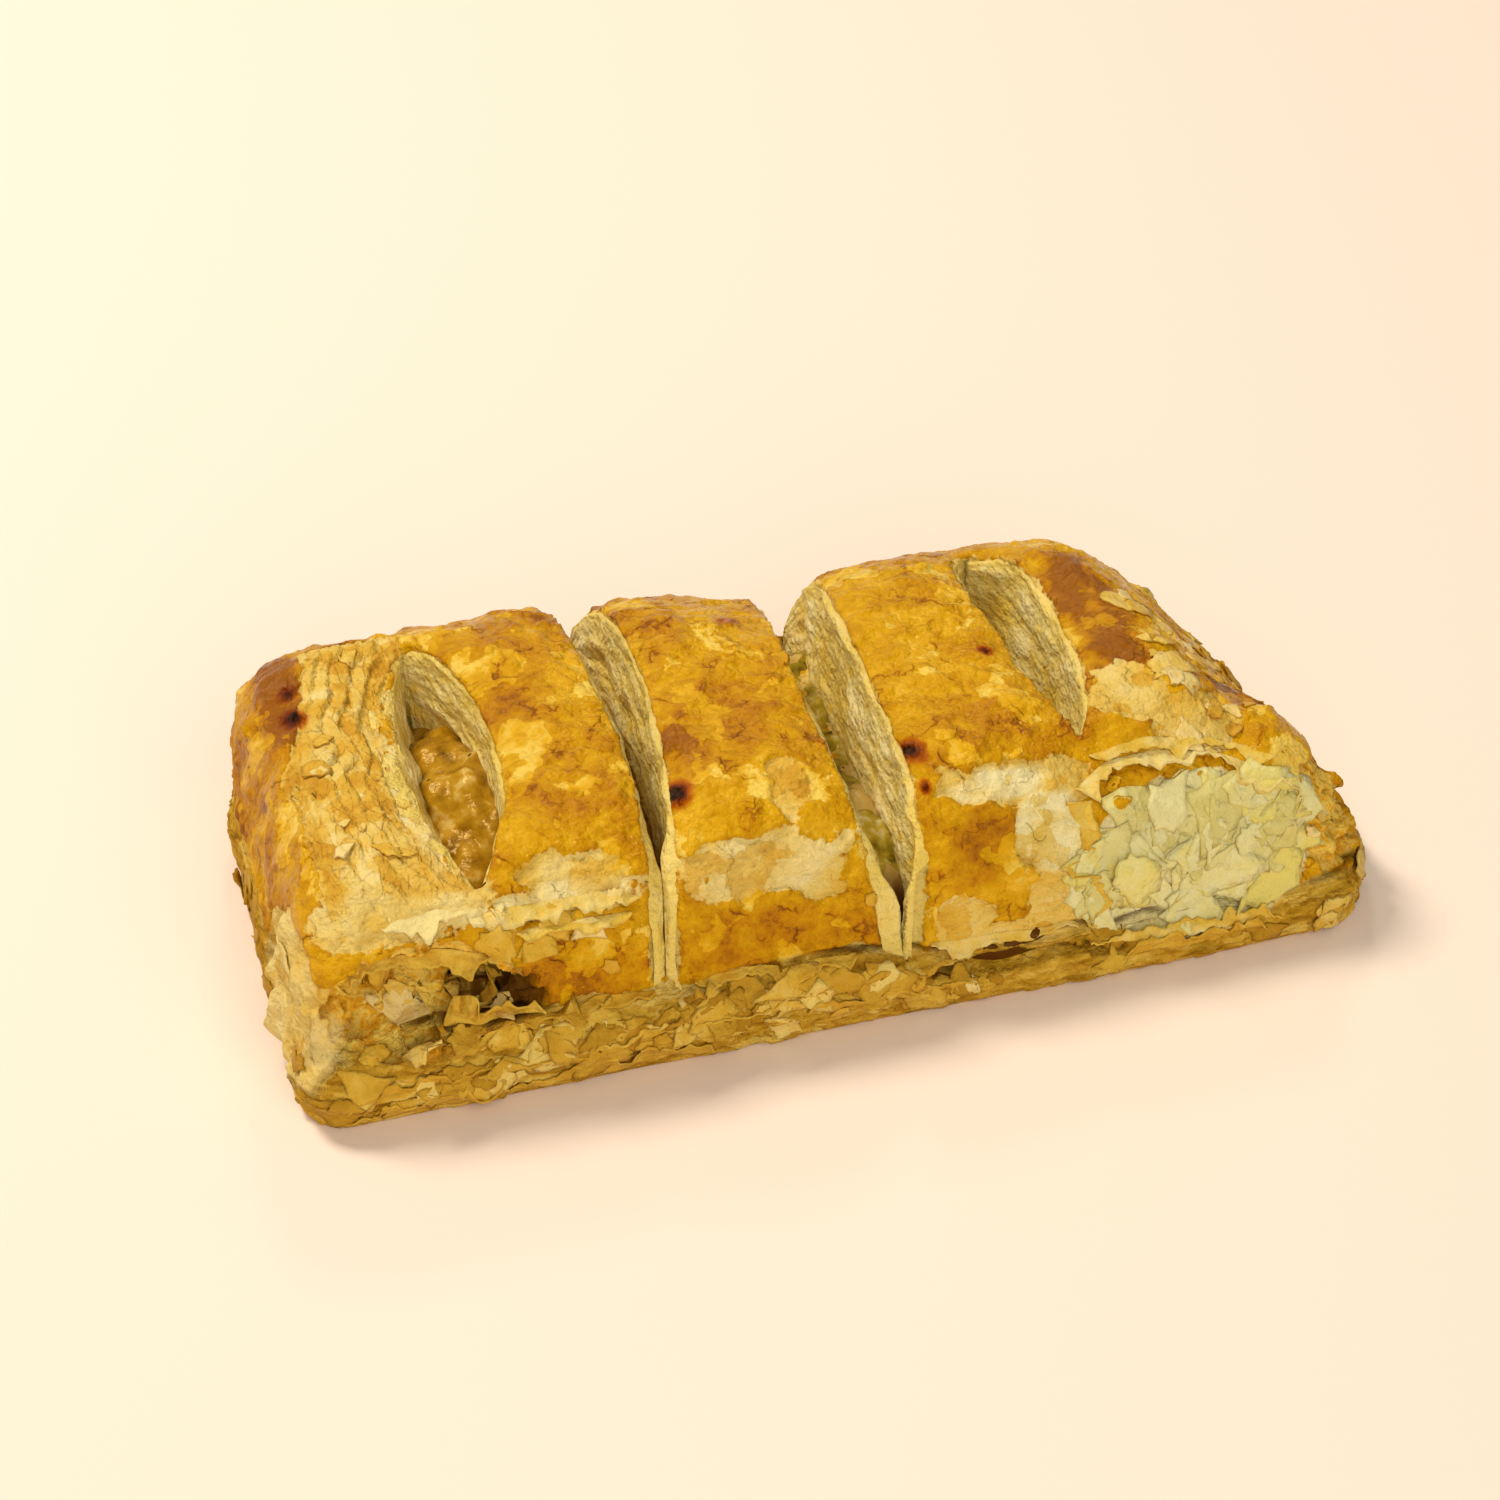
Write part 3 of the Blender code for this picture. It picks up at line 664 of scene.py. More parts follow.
def filling_material():
    """Stewed chicken filling: moist, translucent amber, browner or greener in spots, with specks of herb."""
    material, tree, shader = new_material(
        "chicken_filling",
        IOR=1.4,
        Roughness=0.26,
        Specular_Tint=WARM_SHINE,
        Subsurface_Weight=0.15,
        Subsurface_Scale=0.0015,
        Subsurface_Radius=(1.0, 0.6, 0.2),
    )
    place = add(tree, "TexCoord", out="Object")
    grain = add(tree, "TexNoise", {"Vector": place, "Scale": 1 / 0.0028, "Detail": 4.0})
    along, across = (add(tree, "SeparateXYZ", {"Vector": place}, out=axis) for axis in ("X", "Y"))
    chunk = add(tree, "TexVoronoi", {"Vector": place, "Scale": 1 / 0.0042}, out="Color")
    chunk = add(tree, "SeparateColor", {"Color": chunk})
    specks = add(tree, "TexVoronoi", {"Vector": place, "Scale": 1 / 0.0032})
    side, meat, herb, baked = (
        add(tree, "MapRange", {"Value": value, "From Min": start, "From Max": end})
        for value, start, end in (
            (along, -0.015, 0.0), (chunk, 0.66, 0.72), (specks, 0.13, 0.08), (across, -0.024, -0.028)
        )
    )
    for by in (side, 0.6):
        meat = add(tree, "Math", {0: meat, 1: by}, operation="MULTIPLY")
    colour, moss = (
        add(tree, "ValToRGB", {"Fac": grain}, stops)
        for stops in (
            ((0.3, "#6E4A08"), (0.44, "#9A6E0E"), (0.58, "#B4861A"), (0.7, "#D0AE58")),
            ((0.3, "#5F4A0A"), (0.45, "#97821C"), (0.6, "#B59A2C"), (0.72, "#D6CC96")),
        )
    )
    for share, over in ((side, moss), (meat, "#D9B468"), (herb, "#3A3410"), (baked, "#54300A")):
        colour = add(tree, "Mix", {0: share, 6: colour, 7: over}, data_type="RGBA", out=2)
    bump = add(tree, "Bump", {"Height": grain, "Distance": 0.9 * MM, "Strength": 0.7})
    wire(tree, shader, {"Base Color": colour, "Normal": bump})
    return material


def floor_material():
    """A matt pale board: plain, with no grain, so that the light alone shades it."""
    material, _, _ = new_material("pale_floor", Base_Color=linear("#F5E2CE"), Roughness=0.75)
    return material


# The crust


def leaf_steps(level, points, pitch, seed):
    """Relief of leaves stacked in level: each reaches out by its own amount, most at its foot, as a ledge."""
    index = np.floor(level / pitch)
    part = level / pitch - index
    flat = points * (1, 1, 0)
    reach = relief(flat + np.stack([index * 0, index * 0, index * 31.7], axis=1), 6, seed)
    reach += 0.5 * relief(flat + np.stack([index * 0, index * 0, index * 17.3], axis=1), 1.8, seed)
    return ramp(part, 0, 0.08) * (1 - 0.85 * part) * (0.9 + reach)


def left_skin_edge(y):
    """X where the glazed skin of the left end stops and the bare leaves begin."""
    return -65.0 + 6.5 * ramp(y, -4, 20)


def terraces(points):
    """Leaves that step down from the left end's skin towards the first slash, broken into plates along it."""
    x, y, z = points.T
    slash = SLASHES[0]
    away = slash.middle(y) - slash.half(y) - x
    along = np.stack([y * 0, y, y * 0], axis=1)
    edge = x - left_skin_edge(y) + 1.6 * relief(points, 4.5, 31) + 0.5 * relief(points, 1.4, 32)
    inside = ramp(away, -0.3, 0.4) * ramp(edge, -0.4, 0.4) * ramp(z, 19, 21)
    end = y + 3.5 * relief(points, 8, 35) + 1.2 * relief(points, 2.2, 36)
    inside *= ramp(y, -27, -24) * (1 - ramp(end, 23, 24.5))
    ragged = away + 1.8 * relief(along, 9, 3) + 0.9 * relief(points, 4.5, 4) + 0.3 * relief(points, 1.2, 5)
    pitch = 2.3
    index = np.floor(ragged / pitch)
    part = ragged / pitch - index
    plate = np.stack([index * 9.1, y, y * 0], axis=1)
    tone = relief(plate, 7, 6) + 0.6 * relief(plate, 2.2, 7)
    lift = 0.55 * np.sign(relief(plate, 5.5, 8)) * np.minimum(np.abs(relief(plate, 5.5, 8)) * 8, 1)
    return inside, inside * (0.7 * (0.5 - part) + 0.3 * lift), part, tone


def near_any(points, places):
    """Distance in mm from the edge of the nearest of some egg-shaped places, negative inside one."""
    return np.min([egg(points, *place) for place in places], axis=0)


def crust_fields(points, normals):
    """Every field that the crust's relief and material need, in mm or from 0 to 1."""
    x, y, z = points.T
    up = normals[:, 2]
    clear = np.min([slash.clearance(x, y) for slash in SLASHES], axis=0)
    broad_edge = 1.3 * relief(points, 5.5, 33)
    torn_edge = 0.9 * relief(points, 3.0, 1) + 0.5 * relief(points, 1.2, 2)
    seam = seam_height(x) + 0.9 * relief(points * (1, 1, 0), 7, 3)
    frayed = 0.5 * torn_edge + 0.5 * broad_edge
    skin = np.minimum(clear - 0.4 + 1.2 * (up - 0.55) + 0.7 * frayed, z - seam - 1.2 + torn_edge)
    bare = near_any(points, BARE) + torn_edge + broad_edge
    torn = egg(points, *TORN) + 0.8 * torn_edge
    creams = [(egg(points, centre, radii) + 0.8 * torn_edge, much) for centre, radii, much in CREAM]
    cream = np.min([place for place, _ in creams], axis=0)
    fold = egg(points, *FOLDS) + torn_edge
    island = egg(points, *AMBER_ISLAND) + 0.6 * torn_edge
    terrace, step, part, tone = terraces(points)
    pocket = near_any(points, (POCKET, KNOB)) + torn_edge
    bare = np.maximum(bare, -island)
    skin = np.minimum.reduce([skin, bare, torn, cream, fold, pocket, 0.5 - terrace * 3])
    wall = (1 - ramp(clear, 0.6, 1.4)) * (1 - ramp(up, 0.45, 0.75)) * ramp(z, 7, 9)
    basal = 1 - ramp(z - seam, -0.5, 2.2)
    browning = 0.28 * rough(points, 9, 6)
    for centre, radii, much in DARK:
        away = egg(points, centre, radii) + torn_edge + broad_edge
        browning += much * 0.42 * (1 - ramp(away, -min(radii) * 0.5, 1.0))
    browning += 0.16 * ramp(y, 20, 33) * ramp(z, 14, 24)
    burn = np.zeros(len(points))
    for centre, radius in BURNS:
        reach = np.linalg.norm(points - np.array(centre), axis=1) + 0.8 * torn_edge
        burn = np.maximum(burn, 1 - reach / (2 * radius))
    return {
        "skin": np.clip(skin, -3, 3),
        "browning": browning,
        "burn": np.clip(burn, 0, 1),
        "wall": wall,
        "base": basal * (1 - ramp(-fold, -0.5, 0.5)),
        "torn": 1 - ramp(torn, -0.5, 0.5),
        "cream": np.max([much * (1 - ramp(at, -0.5, 0.6)) for at, much in [*creams, (fold, 0.35)]], axis=0),
        "fold": 1 - ramp(fold, -1.0, 0.6),
        "terrace": terrace,
        "pocket": 1 - ramp(pocket, -1.0, 0.6),
        "shade": 0.42 + terrace * (0.34 * tone - 0.25) + 0.25 * (1 - terrace) * relief(points, 5, 8),
        "step": step,
        "part": part,
        "clear": clear,
    }


def crust_relief(points, normals, fields):
    """How far each point of the crust moves out along its normal, in mm, and how much painted shade darkens
    its recess.
    """
    z = points[:, 2]
    skin = ramp(fields["skin"], -0.15, 0.2)
    fold = 1 - np.abs(relief(points * (0.7, 1, 1), 5.5, 11)) * 2.4
    lifted = 0.34 * rough(points, 5, 12) + 0.3 * np.clip(fold, -0.4, 1) ** 3
    lifted += 0.5 * np.clip(relief(points, 3.6, 13) - 0.25, 0, 1)
    lifted += 0.17 * relief(points, 1.5, 14)
    sheets = np.floor(3.2 * (rough(points, 8, 19) + 0.5))
    moved = skin * (0.22 + 1.3 * lifted + 0.14 * sheets)
    warp = z + 1.3 * relief(points, 13, 15) + 0.5 * relief(points, 3.5, 16) + 0.2 * relief(points, 1.2, 27)
    strata = leaf_steps(warp, points, 2.1, 17)
    crag = relief(points, 3.4, 18)
    side = fields["base"] * (1 - ramp(-normals[:, 2], 0.6, 0.9))
    low = side * (1 - ramp(z, 3.0, 7.0))
    moved += side * (0.62 * strata - 0.45 + 0.3 * crag) * (1 - 0.35 * low)
    moved += side * 0.3 * np.floor(3 * (rough(points * (0.4, 0.4, 1.4), 5, 25) + 0.5))
    bare = (1 - skin) * (1 - fields["base"]) * (1 - fields["wall"])
    torn_sheets = np.floor(3.6 * (rough(points, 6, 19) + 0.5)) * 0.26
    moved += bare * (torn_sheets - 0.3 + 0.22 * relief(points, 1.5, 20)) * (1 - fields["terrace"])
    pleat = relief(points * (1, 1, 0.22), 1.9, 23) + 0.5 * relief(points * (1, 1, 0.3), 4.5, 24)
    moved += fields["fold"] * 1.1 * pleat
    moved += fields["step"]
    moved -= 0.45 * fields["wall"]
    crumb = rough(points, 3.0, 21)
    crumb += 0.22 * np.floor(4 * rough(points * (0.6, 0.6, 1.0), 4.5, 39))
    moved += fields["pocket"] * (1.7 * crumb + 0.5 * relief(points, 1.1, 22) - 0.9)
    hole = egg(points, *HOLE) + 0.9 * relief(points, 2.4, 37) + 0.5 * relief(points, 1.1, 38)
    hole = 1 - ramp(hole, -0.7, 0.4)
    moved -= 2.4 * hole
    # Painted shade: darker in the hollows between strata, in the open seam, at the foot of each terrace step,
    # in the pocket's hollows, in the hole and in the pleats.
    crevice_shade = side * np.clip(0.34 - strata - 0.4 * crag, 0, 1) * 0.8
    seam_line = np.abs(z - seam_height(points[:, 0]) - 0.9 + 0.9 * relief(points * (1, 1, 0), 6, 28))
    open_here = ramp(relief(points * (1, 1, 0), 8, 29), -0.15, 0.15)
    crevice_shade += (1 - ramp(seam_line, 0.15, 0.7)) * open_here * 0.75
    moved -= (1 - ramp(seam_line, 0.1, 0.6)) * open_here * 0.5
    crevice_shade += fields["terrace"] * ramp(fields["part"], 0.9, 1.0) * 0.14
    crevice_shade += fields["pocket"] * np.clip(0.0 - crumb, 0, 1) * 0.5 + hole * 0.95
    crevice_shade += fields["fold"] * np.clip(-pleat - 0.15, 0, 1) * 0.4
    return moved, np.clip(crevice_shade, 0, 1)


def build_crust(settings):
    """The whole crust as one even mesh, with its relief and fields."""
    bm = merged_copy("pastry")
    pour(bm, mesh_of("core", merged_copy("filling", grow=0.5)))
    mesh = remeshed("crust_whole", bm, settings.voxel * (1))
    points = corners_of(mesh)
    x, y, z = points.T
    clear = np.min([slash.clearance(x, y) for slash in SLASHES], axis=0)
    broad = ramp(clear, 0.8, 3.0) * ramp(z, 13, 18) * ramp(egg(points, *POCKET), 0.5, 2.5)
    broad *= ramp(egg(points, *TORN), 0, 2)
    points = evened(mesh, points, 3, np.full(len(points), 0.5))
    points = evened(mesh, points, 30, 0.6 * broad)
    move_corners(mesh, points)
    normals = read(mesh, "normal")
    fields = crust_fields(points, normals)
    moved, fields["crevice_shade"] = crust_relief(points, normals, fields)
    moved *= ramp(z, 0.0, 0.8)
    points = points + normals * moved[:, None]
    points[:, 2] = np.maximum(points[:, 2], 0)
    move_corners(mesh, points)
    for name in CRUST_FIELDS:
        note(mesh, name, fields[name])
    return mesh


def split_at_slashes(mesh):
    """The crust as one object for each band between two slashes, so that no piece is too heavy."""
    centres = np.empty(len(mesh.polygons) * 3, np.float32)
    mesh.polygons.foreach_get("center", centres)
    x, y, _ = centres.reshape(-1, 3).T.astype(float) / MM
    band = sum((x > slash.middle(y)).astype(int) for slash in SLASHES)
    made = []
    for index in range(len(SLASHES) + 1):
        bm = bmesh.new()
        bm.from_mesh(mesh)
        away = [face for face, own in zip(bm.faces, (band == index).tolist()) if not own]
        bmesh.ops.delete(bm, geom=away, context="FACES")
        made.append(new_object(f"crust_band_{index + 1}", bm))
    return made


# The cut walls


def cast(tree, start, direction, reach=1.0):
    """Where a ray from start in mm meets the tree, in mm, or None."""
    where, _, _, _ = tree.ray_cast(Vector(start) * MM, Vector(direction), reach)
    return None if where is None else np.array(where) / MM


def wall_sheet(tree, slash, side, settings, seed):
    """A sheet over one wall of a slash, in leaves that run along it."""
    stations = max(int((slash.back - slash.front) / (0.55)), 8)
    rows = 66
    bm = bmesh.new()
    bmesh.ops.create_grid(bm, x_segments=stations, y_segments=rows, size=1)
    mesh = mesh_of("wall", bm)
    grid = corners_of(mesh) * MM
    column = np.rint((grid[:, 0] + 1) / 2 * stations).astype(int)
    row = np.rint((grid[:, 1] + 1) / 2 * rows).astype(int)
    back = min(slash.back, LID_BACK)
    y = slash.front + 0.2 + (back - slash.front - 0.4) * np.arange(stations + 1) / stations
    half, middle = slash.half(y), slash.middle(y)
    within = middle + slash.deepest * half
    tops, lows = [], []
    for at in range(stations + 1):
        edge = middle[at] + side * (half[at] + 0.9)
        hit = cast(tree, (edge, y[at], 60), (0, 0, -1))
        tops.append(hit[2] if hit is not None else 12.0)
        hit = cast(tree, (within[at], y[at], 60), (0, 0, -1))
        lows.append(min(hit[2] if hit is not None else 12.0, 14.0))
    tops, lows = np.array(tops) - 0.15, np.array(lows) - 0.8
    tops = np.maximum(tops, lows + 0.5)
    share = np.arange(rows + 1) / rows
    z = lows[:, None] + (tops - lows)[:, None] * share[None, :]
    out = np.empty_like(z)
    for at in range(stations + 1):
        for up in range(rows + 1):
            hit = cast(tree, (within[at], y[at], z[at, up]), (side, 0, 0), 0.02)
            away = half[at] if hit is None else side * (hit[0] - middle[at])
            out[at, up] = min(away, half[at] + 0.7)
    flat_y = np.repeat(y[:, None], rows + 1, axis=1)
    deep = tops[:, None] - z
    shut = 1 - ramp(y, slash.shut_y - 5, slash.shut_y + 5)
    out *= 1 - 0.97 * shut[:, None] * ramp(deep, -0.2, 2.6)
    where = np.stack([np.full(z.size, 40.0 * seed), flat_y.ravel(), z.ravel()], axis=1)
    warp = deep.ravel() + 0.9 * relief(where, (9, 16, 9), seed) + 0.25 * relief(where, (3, 5, 2.4), seed + 1)
    warp = np.maximum(warp + 1.5, 0) ** 0.85
    pitch = settings.leaf_pitch / MM
    index = np.floor(warp / pitch)
    part = warp / pitch - index
    leaf_place = np.stack([index * 7.3, flat_y.ravel(), index * 0], axis=1)
    reach = relief(leaf_place, 7, seed + 2) + 0.45 * relief(leaf_place, 2.2, seed + 3)
    puff = relief(where, (5, 6, 3), seed + 4) + 0.4 * relief(where, (2, 2.4, 1.2), seed + 5)
    pillow = relief(where, (9, 9, 7), seed + 6)
    proud = (1 - np.abs(2 * part - 1) ** 3) * (0.14 + 0.3 * reach) + 0.6 * puff + 0.6 * pillow
    proud = proud.reshape(z.shape)
    room = np.minimum(half / 2.2, 1)[:, None]
    proud = 0.12 + proud * room
    tucked = np.minimum(share * rows / 2, 1) * np.minimum((1 - share) * rows / 2, 1)
    proud = proud * tucked[None, :] - 0.7 * (1 - tucked)[None, :]
    x = middle[:, None] + side * np.maximum(out - proud, 0.03 - slash.deepest * half[:, None])
    points = np.stack([x[column, row], flat_y[column, row], z[column, row]], axis=1)
    move_corners(mesh, points)
    note(mesh, "depth", deep[column, row])
    tone = (0.3 + 0.22 * reach + 0.35 * pillow + 0.2 * puff).reshape(z.shape)
    # The leaf tone is darker in the grooves between leaves: painted shade.
    groove_shade = (np.abs(2 * part - 1) ** 6 * 0.12 * (1 + 2 * reach)).reshape(z.shape)
    note(mesh, "leaf", (tone - groove_shade)[column, row])
    if side > 0:
        mesh.flip_normals()
    return mesh


# Loose leaves


def leaf_templates(count, draw):
    """Paper-thin angular leaves one unit across, with how near the rim and how far peeled each corner is."""
    made = []
    for _ in range(count):
        bm = bmesh.new()
        bmesh.ops.create_circle(bm, cap_ends=True, cap_tris=True, segments=draw.randint(5, 8), radius=0.5)
        for vert in bm.verts:
            if vert.is_boundary:
                vert.co.xy *= draw.uniform(0.55, 1.12)
                vert.co.xy += Vector((draw.uniform(-0.09, 0.09), draw.uniform(-0.09, 0.09)))
        bmesh.ops.subdivide_edges(bm, edges=bm.edges[:], cuts=2, use_grid_fill=True)
        narrow, turn = draw.uniform(0.45, 0.9), draw.uniform(0, 2 * math.pi)
        from_here = draw.uniform(-0.15, 0.3)
        for vert in bm.verts:
            if vert.is_boundary:
                vert.co.xy *= draw.uniform(0.8, 1.1)
            vert.co.y *= narrow
        bmesh.ops.recalc_face_normals(bm, faces=bm.faces[:])
        rims = [1.0 if vert.is_boundary else min(vert.co.xy.length * 1.6, 0.6) for vert in bm.verts]
        reach = [vert.co.x * math.cos(turn) + vert.co.y * math.sin(turn) - from_here for vert in bm.verts]
        peels = [min(max(2.2 * along, 0), 1) ** 1.6 for along in reach]
        made.append((mesh_of("leaf", bm), rims, peels))
    return made


def laid_leaf(template, matrix, tree, off, peel):
    """A template leaf pressed on to the crust at its place, a little off it, and further where it peels."""
    mesh, _, peels = template
    bm = bmesh.new()
    bm.from_mesh(mesh)
    bmesh.ops.transform(bm, matrix=matrix, verts=bm.verts)
    facing = matrix.to_3x3().col[2].normalized()
    for vert, free in zip(bm.verts, peels):
        hit = tree.ray_cast(vert.co + facing * 3 * MM, -facing, 4.8 * MM)[0]
        if hit is None:
            hit = tree.find_nearest(vert.co)[0]
        vert.co = hit + facing * (off + peel * free)
    smoothed(bm, [vert for vert in bm.verts if not vert.is_boundary], 0.5)
    return mesh_of("laid", bm)


def joined_leaves(name, places, tree, draw, kinds, palest):
    """One object of a leaf laid at each place, which is a matrix, a distance off and a peel.

    The leaves are of some number of kinds, and their tones go up to the palest.
    """
    templates = leaf_templates(kinds, draw)
    tones = [draw.uniform(0.0, palest) for _ in places]
    joined = bmesh.new()
    tone, edge = [], []
    for index, (matrix, off, peel) in enumerate(places):
        template = templates[index % len(templates)]
        pour(joined, laid_leaf(template, matrix, tree, off, peel))
        tone += [tones[index]] * len(template[1])
        edge += template[1]
    for template in templates:
        bpy.data.meshes.remove(template[0])
    return finished_leaves(name, joined, tone, edge, LEAF)


def finished_leaves(name, bm, tone, edge, thickness):
    """Joined leaves as one object with their fields, kept in the solids' box, and thick with a crisp edge."""
    obj = new_object(name, bm)
    note(obj.data, "tone", tone)
    note(obj.data, "edge", edge)
    points = corners_of(obj.data)
    low, high = (np.array(corner) / MM for corner in CAD_BOX)
    slack = (high - low) * BOX_SLACK
    move_corners(obj.data, np.clip(points, low - slack * (1, 1, 0), high + slack))
    modifier = obj.modifiers.new("thickness", "SOLIDIFY")
    modifier.thickness, modifier.offset = thickness, 0
    obj.data.set_sharp_from_angle(angle=math.radians(40))
    return obj


def lying(where, normal, across, draw, tilt, level=0.0):
    """The matrix of a leaf that lies on a surface, its long side turned level by a share."""
    lean = Vector([draw.uniform(-tilt, tilt) for _ in range(3)])
    facing = (normal + lean).normalized()
    turned = facing.to_track_quat("Z", "Y")
    if draw.random() < level:
        side = Vector((0, 0, 1)).cross(facing)
        if side.length > 0.2:
            side.normalize()
            rows = Matrix((side, facing.cross(side), facing)).transposed()
            turned = rows.to_quaternion() @ Quaternion((0, 0, 1), draw.gauss(0, 0.3))
    else:
        turned = turned @ Quaternion((0, 0, 1), draw.uniform(0, 2 * math.pi))
    sized = Matrix.Diagonal((across, across, across, 1))
    return Matrix.Translation(where) @ turned.to_matrix().to_4x4() @ sized


def thrown(tree, smooth, fields, draw):
    """Where leaves thrown at the crust land, facing as the smoothed form does, and how they lie.

    Each field is a count, a box, a flight, sizes, tilt, the most that one peels, and how many lie level.
    """
    places = []
    for count, x_range, y_range, z_range, flight, sizes, tilt, peel, level in fields:
        flight = Vector(flight).normalized()
        for _ in range(count // (1)):
            start = Vector([draw.uniform(*ends) * MM for ends in (x_range, y_range, z_range)])
            where, _, _, _ = tree.ray_cast(start, flight)
            if where is None or where.z < LOWEST_LEAF:
                continue
            across = min(draw.uniform(*sizes) * MM, 2.4 * where.z)
            facing = smooth.find_nearest(where)[1].lerp(-flight, 0.15)
            facing.z = max(facing.z, 0.0)
            facing.normalize()
            matrix = lying(where, facing, across, draw, tilt, level)
            places.append((matrix, draw.uniform(0.08, 0.3) * MM, draw.uniform(0, peel) * MM))
    return places


def torn_strip(tree, smooth, path, width, lift, heading, hug, seed):
    """A mesh of a ragged strip of leaf. Its root follows path over the crust. Its free edge stands off."""
    legs = [math.dist(path[i], path[i + 1]) for i in range(len(path) - 1)]
    stations, rows = max(int(sum(legs) / 0.4), 6), 6
    marks = np.concatenate([[0], np.cumsum(legs)])
    track = np.linspace(0, marks[-1], stations + 1)
    roots = np.stack([np.interp(track, marks, [point[axis] for point in path]) for axis in range(3)], axis=1)
    laid = np.array([Vector(tree.find_nearest(Vector(root) * MM)[0]) / MM * hug for root in roots])
    roots = laid + roots * (1 - hug)
    facings = np.array([smooth.find_nearest(Vector(root) * MM)[1] for root in roots])
    facings[:, 2] = np.maximum(facings[:, 2], -0.05)
    for _ in range(6):
        roots[1:-1] = (roots[:-2] + 2 * roots[1:-1] + roots[2:]) / 4
        facings[1:-1] = (facings[:-2] + 2 * facings[1:-1] + facings[2:]) / 4
    runs = np.gradient(roots, axis=0)
    bm = bmesh.new()
    bmesh.ops.create_grid(bm, x_segments=stations, y_segments=rows, size=1)
    for vert in bm.verts:
        at, share = round((vert.co.x + 1) / 2 * stations), (vert.co.y + 1) / 2
        along, normal = Vector(runs[at]).normalized(), Vector(facings[at])
        normal = (normal - along * normal.dot(along)).normalized()
        side = normal.cross(along)
        side *= math.copysign(1, side.z * heading)
        spot = track[at] / 2.6 + 0.8 * noise.noise((track[at] / 4, seed * 5.1, 0))
        broken = [noise.cell((math.floor(spot) + step, seed * 7.0, 0.5)) for step in (0, 1)]
        reach = 0.62 + 0.4 * (broken[0] + (broken[1] - broken[0]) * min((spot % 1) * 4, 1))
        reach += 0.35 * noise.noise((track[at] / 7, seed * 3.3, 7))
        reach += 0.3 * noise.noise((track[at] / 0.9, seed, 3))
        reach *= min(at, stations - at, 3) / 3
        out = Vector(roots[at]) + side * width * max(reach, 0.05) * share
        hit = tree.ray_cast((out + normal * 4) * MM, -normal, 9 * MM)[0]
        flat = out if hit is None else hit / MM + normal * 0.15
        out = flat.lerp(out, 1 - hug)
        wave = 0.25 * noise.noise((track[at] / 4.0, share * 1.5, seed))
        vert.co = (out + normal * ((0.7 * lift + wave) * share**1.5 - 0.2 * (1 - share))) * MM
    smoothed(bm, bm.verts, 0.3)
    bmesh.ops.recalc_face_normals(bm, faces=bm.faces[:])
    return mesh_of("strip", bm)


def trees():
    """Search trees over the crust, and over its solid smoothed, which faces as the large form does."""
    crust = bmesh.new()
    for obj in bpy.data.objects:
        if obj.name.startswith("crust_band"):
            crust.from_mesh(obj.data)
    form = merged_copy("pastry")
    for _ in range(8):
        smoothed(form, form.verts, 0.5)
    form.normal_update()
    return [tree_of(bm) for bm in (crust, form)]


# Operators


class PUFF_OT_crust(bpy.types.Operator):
    """Builds the crust: an even mesh over the pastry's solid, wrinkled, terraced and layered"""

    bl_idname = "puff.crust"
    bl_label = "Crust"

    def execute(self, context):
        settings = context.scene.puff
        mesh = build_crust(settings)
        material = crust_material(settings)
        for band in split_at_slashes(mesh):
            settle(band, "pastry", material)
        bpy.data.meshes.remove(mesh)
        return {"FINISHED"}


class PUFF_OT_cut_walls(bpy.types.Operator):
    """Builds the leaves that show in the walls of each slash"""

    bl_idname = "puff.cut_walls"
    bl_label = "Cut walls"

    def execute(self, context):
        settings = context.scene.puff
        tree = tree_of(merged_copy("pastry"))
        bm = bmesh.new()
        for number, slash in enumerate(SLASHES):
            for side in (-1, 1):
                pour(bm, wall_sheet(tree, slash, side, settings, 3.0 * number + side + 2))
        piece = new_object("cut_walls", bm)
        settle(piece, "pastry", inner_leaf_material(settings))
        return {"FINISHED"}


class PUFF_OT_seam_leaves(bpy.types.Operator):
    """Scatters the dry broken leaves of the seam and the base, all the way round"""

    bl_idname = "puff.seam_leaves"
    bl_label = "Seam leaves"

    def execute(self, context):
        settings = context.scene.puff
        draw = random.Random(settings.seed)
        tree, smooth = trees()
        front, back, left, right = (0, 1, -0.15), (0, -1, -0.15), (1, 0, -0.15), (-1, 0, -0.15)
        fields = [
            (16, (-68, -44), (-50, -50), (5, 9), front, (3, 8), 0.15, 0.9, 0.8),
            (36, (-44, 5), (-50, -50), (8, 12.5), front, (3, 6), 0.25, 1.4, 0.7),
            (30, (-42, 5), (-50, -50), (8, 12), front, (5, 10), 0.2, 2.2, 0.8),
            (8, (-68, 6), (-50, -50), (4, 7), front, (8, 16), 0.06, 0.6, 0.95),
            (22, (4, 68), (-50, -50), (3.5, 7.5), front, (3, 8), 0.15, 1.2, 0.9),
            (50, (-66, 66), (50, 50), (3, 12), back, (5, 12), 0.12, 1.4, 0.9),
            (20, (-90, -90), (-32, 32), (3, 12), left, (5, 11), 0.12, 1.4, 0.9),
            (20, (90, 90), (-32, 32), (3, 10), right, (4, 10), 0.12, 1.4, 0.9),
        ]
        places = thrown(tree, smooth, fields, draw)
        piece = joined_leaves("seam_leaves", places, tree, draw, kinds=30, palest=0.65)
        stops = (0.3, "#A87A1C"), (0.5, "#BE9128"), (0.7, "#CFA63A"), (0.95, "#DFC36A")
        material = loose_leaf_material("dry_base_leaves", stops, "#8A5A12", 0.6, 0.03)
        settle(piece, "pastry", material)
        return {"FINISHED"}


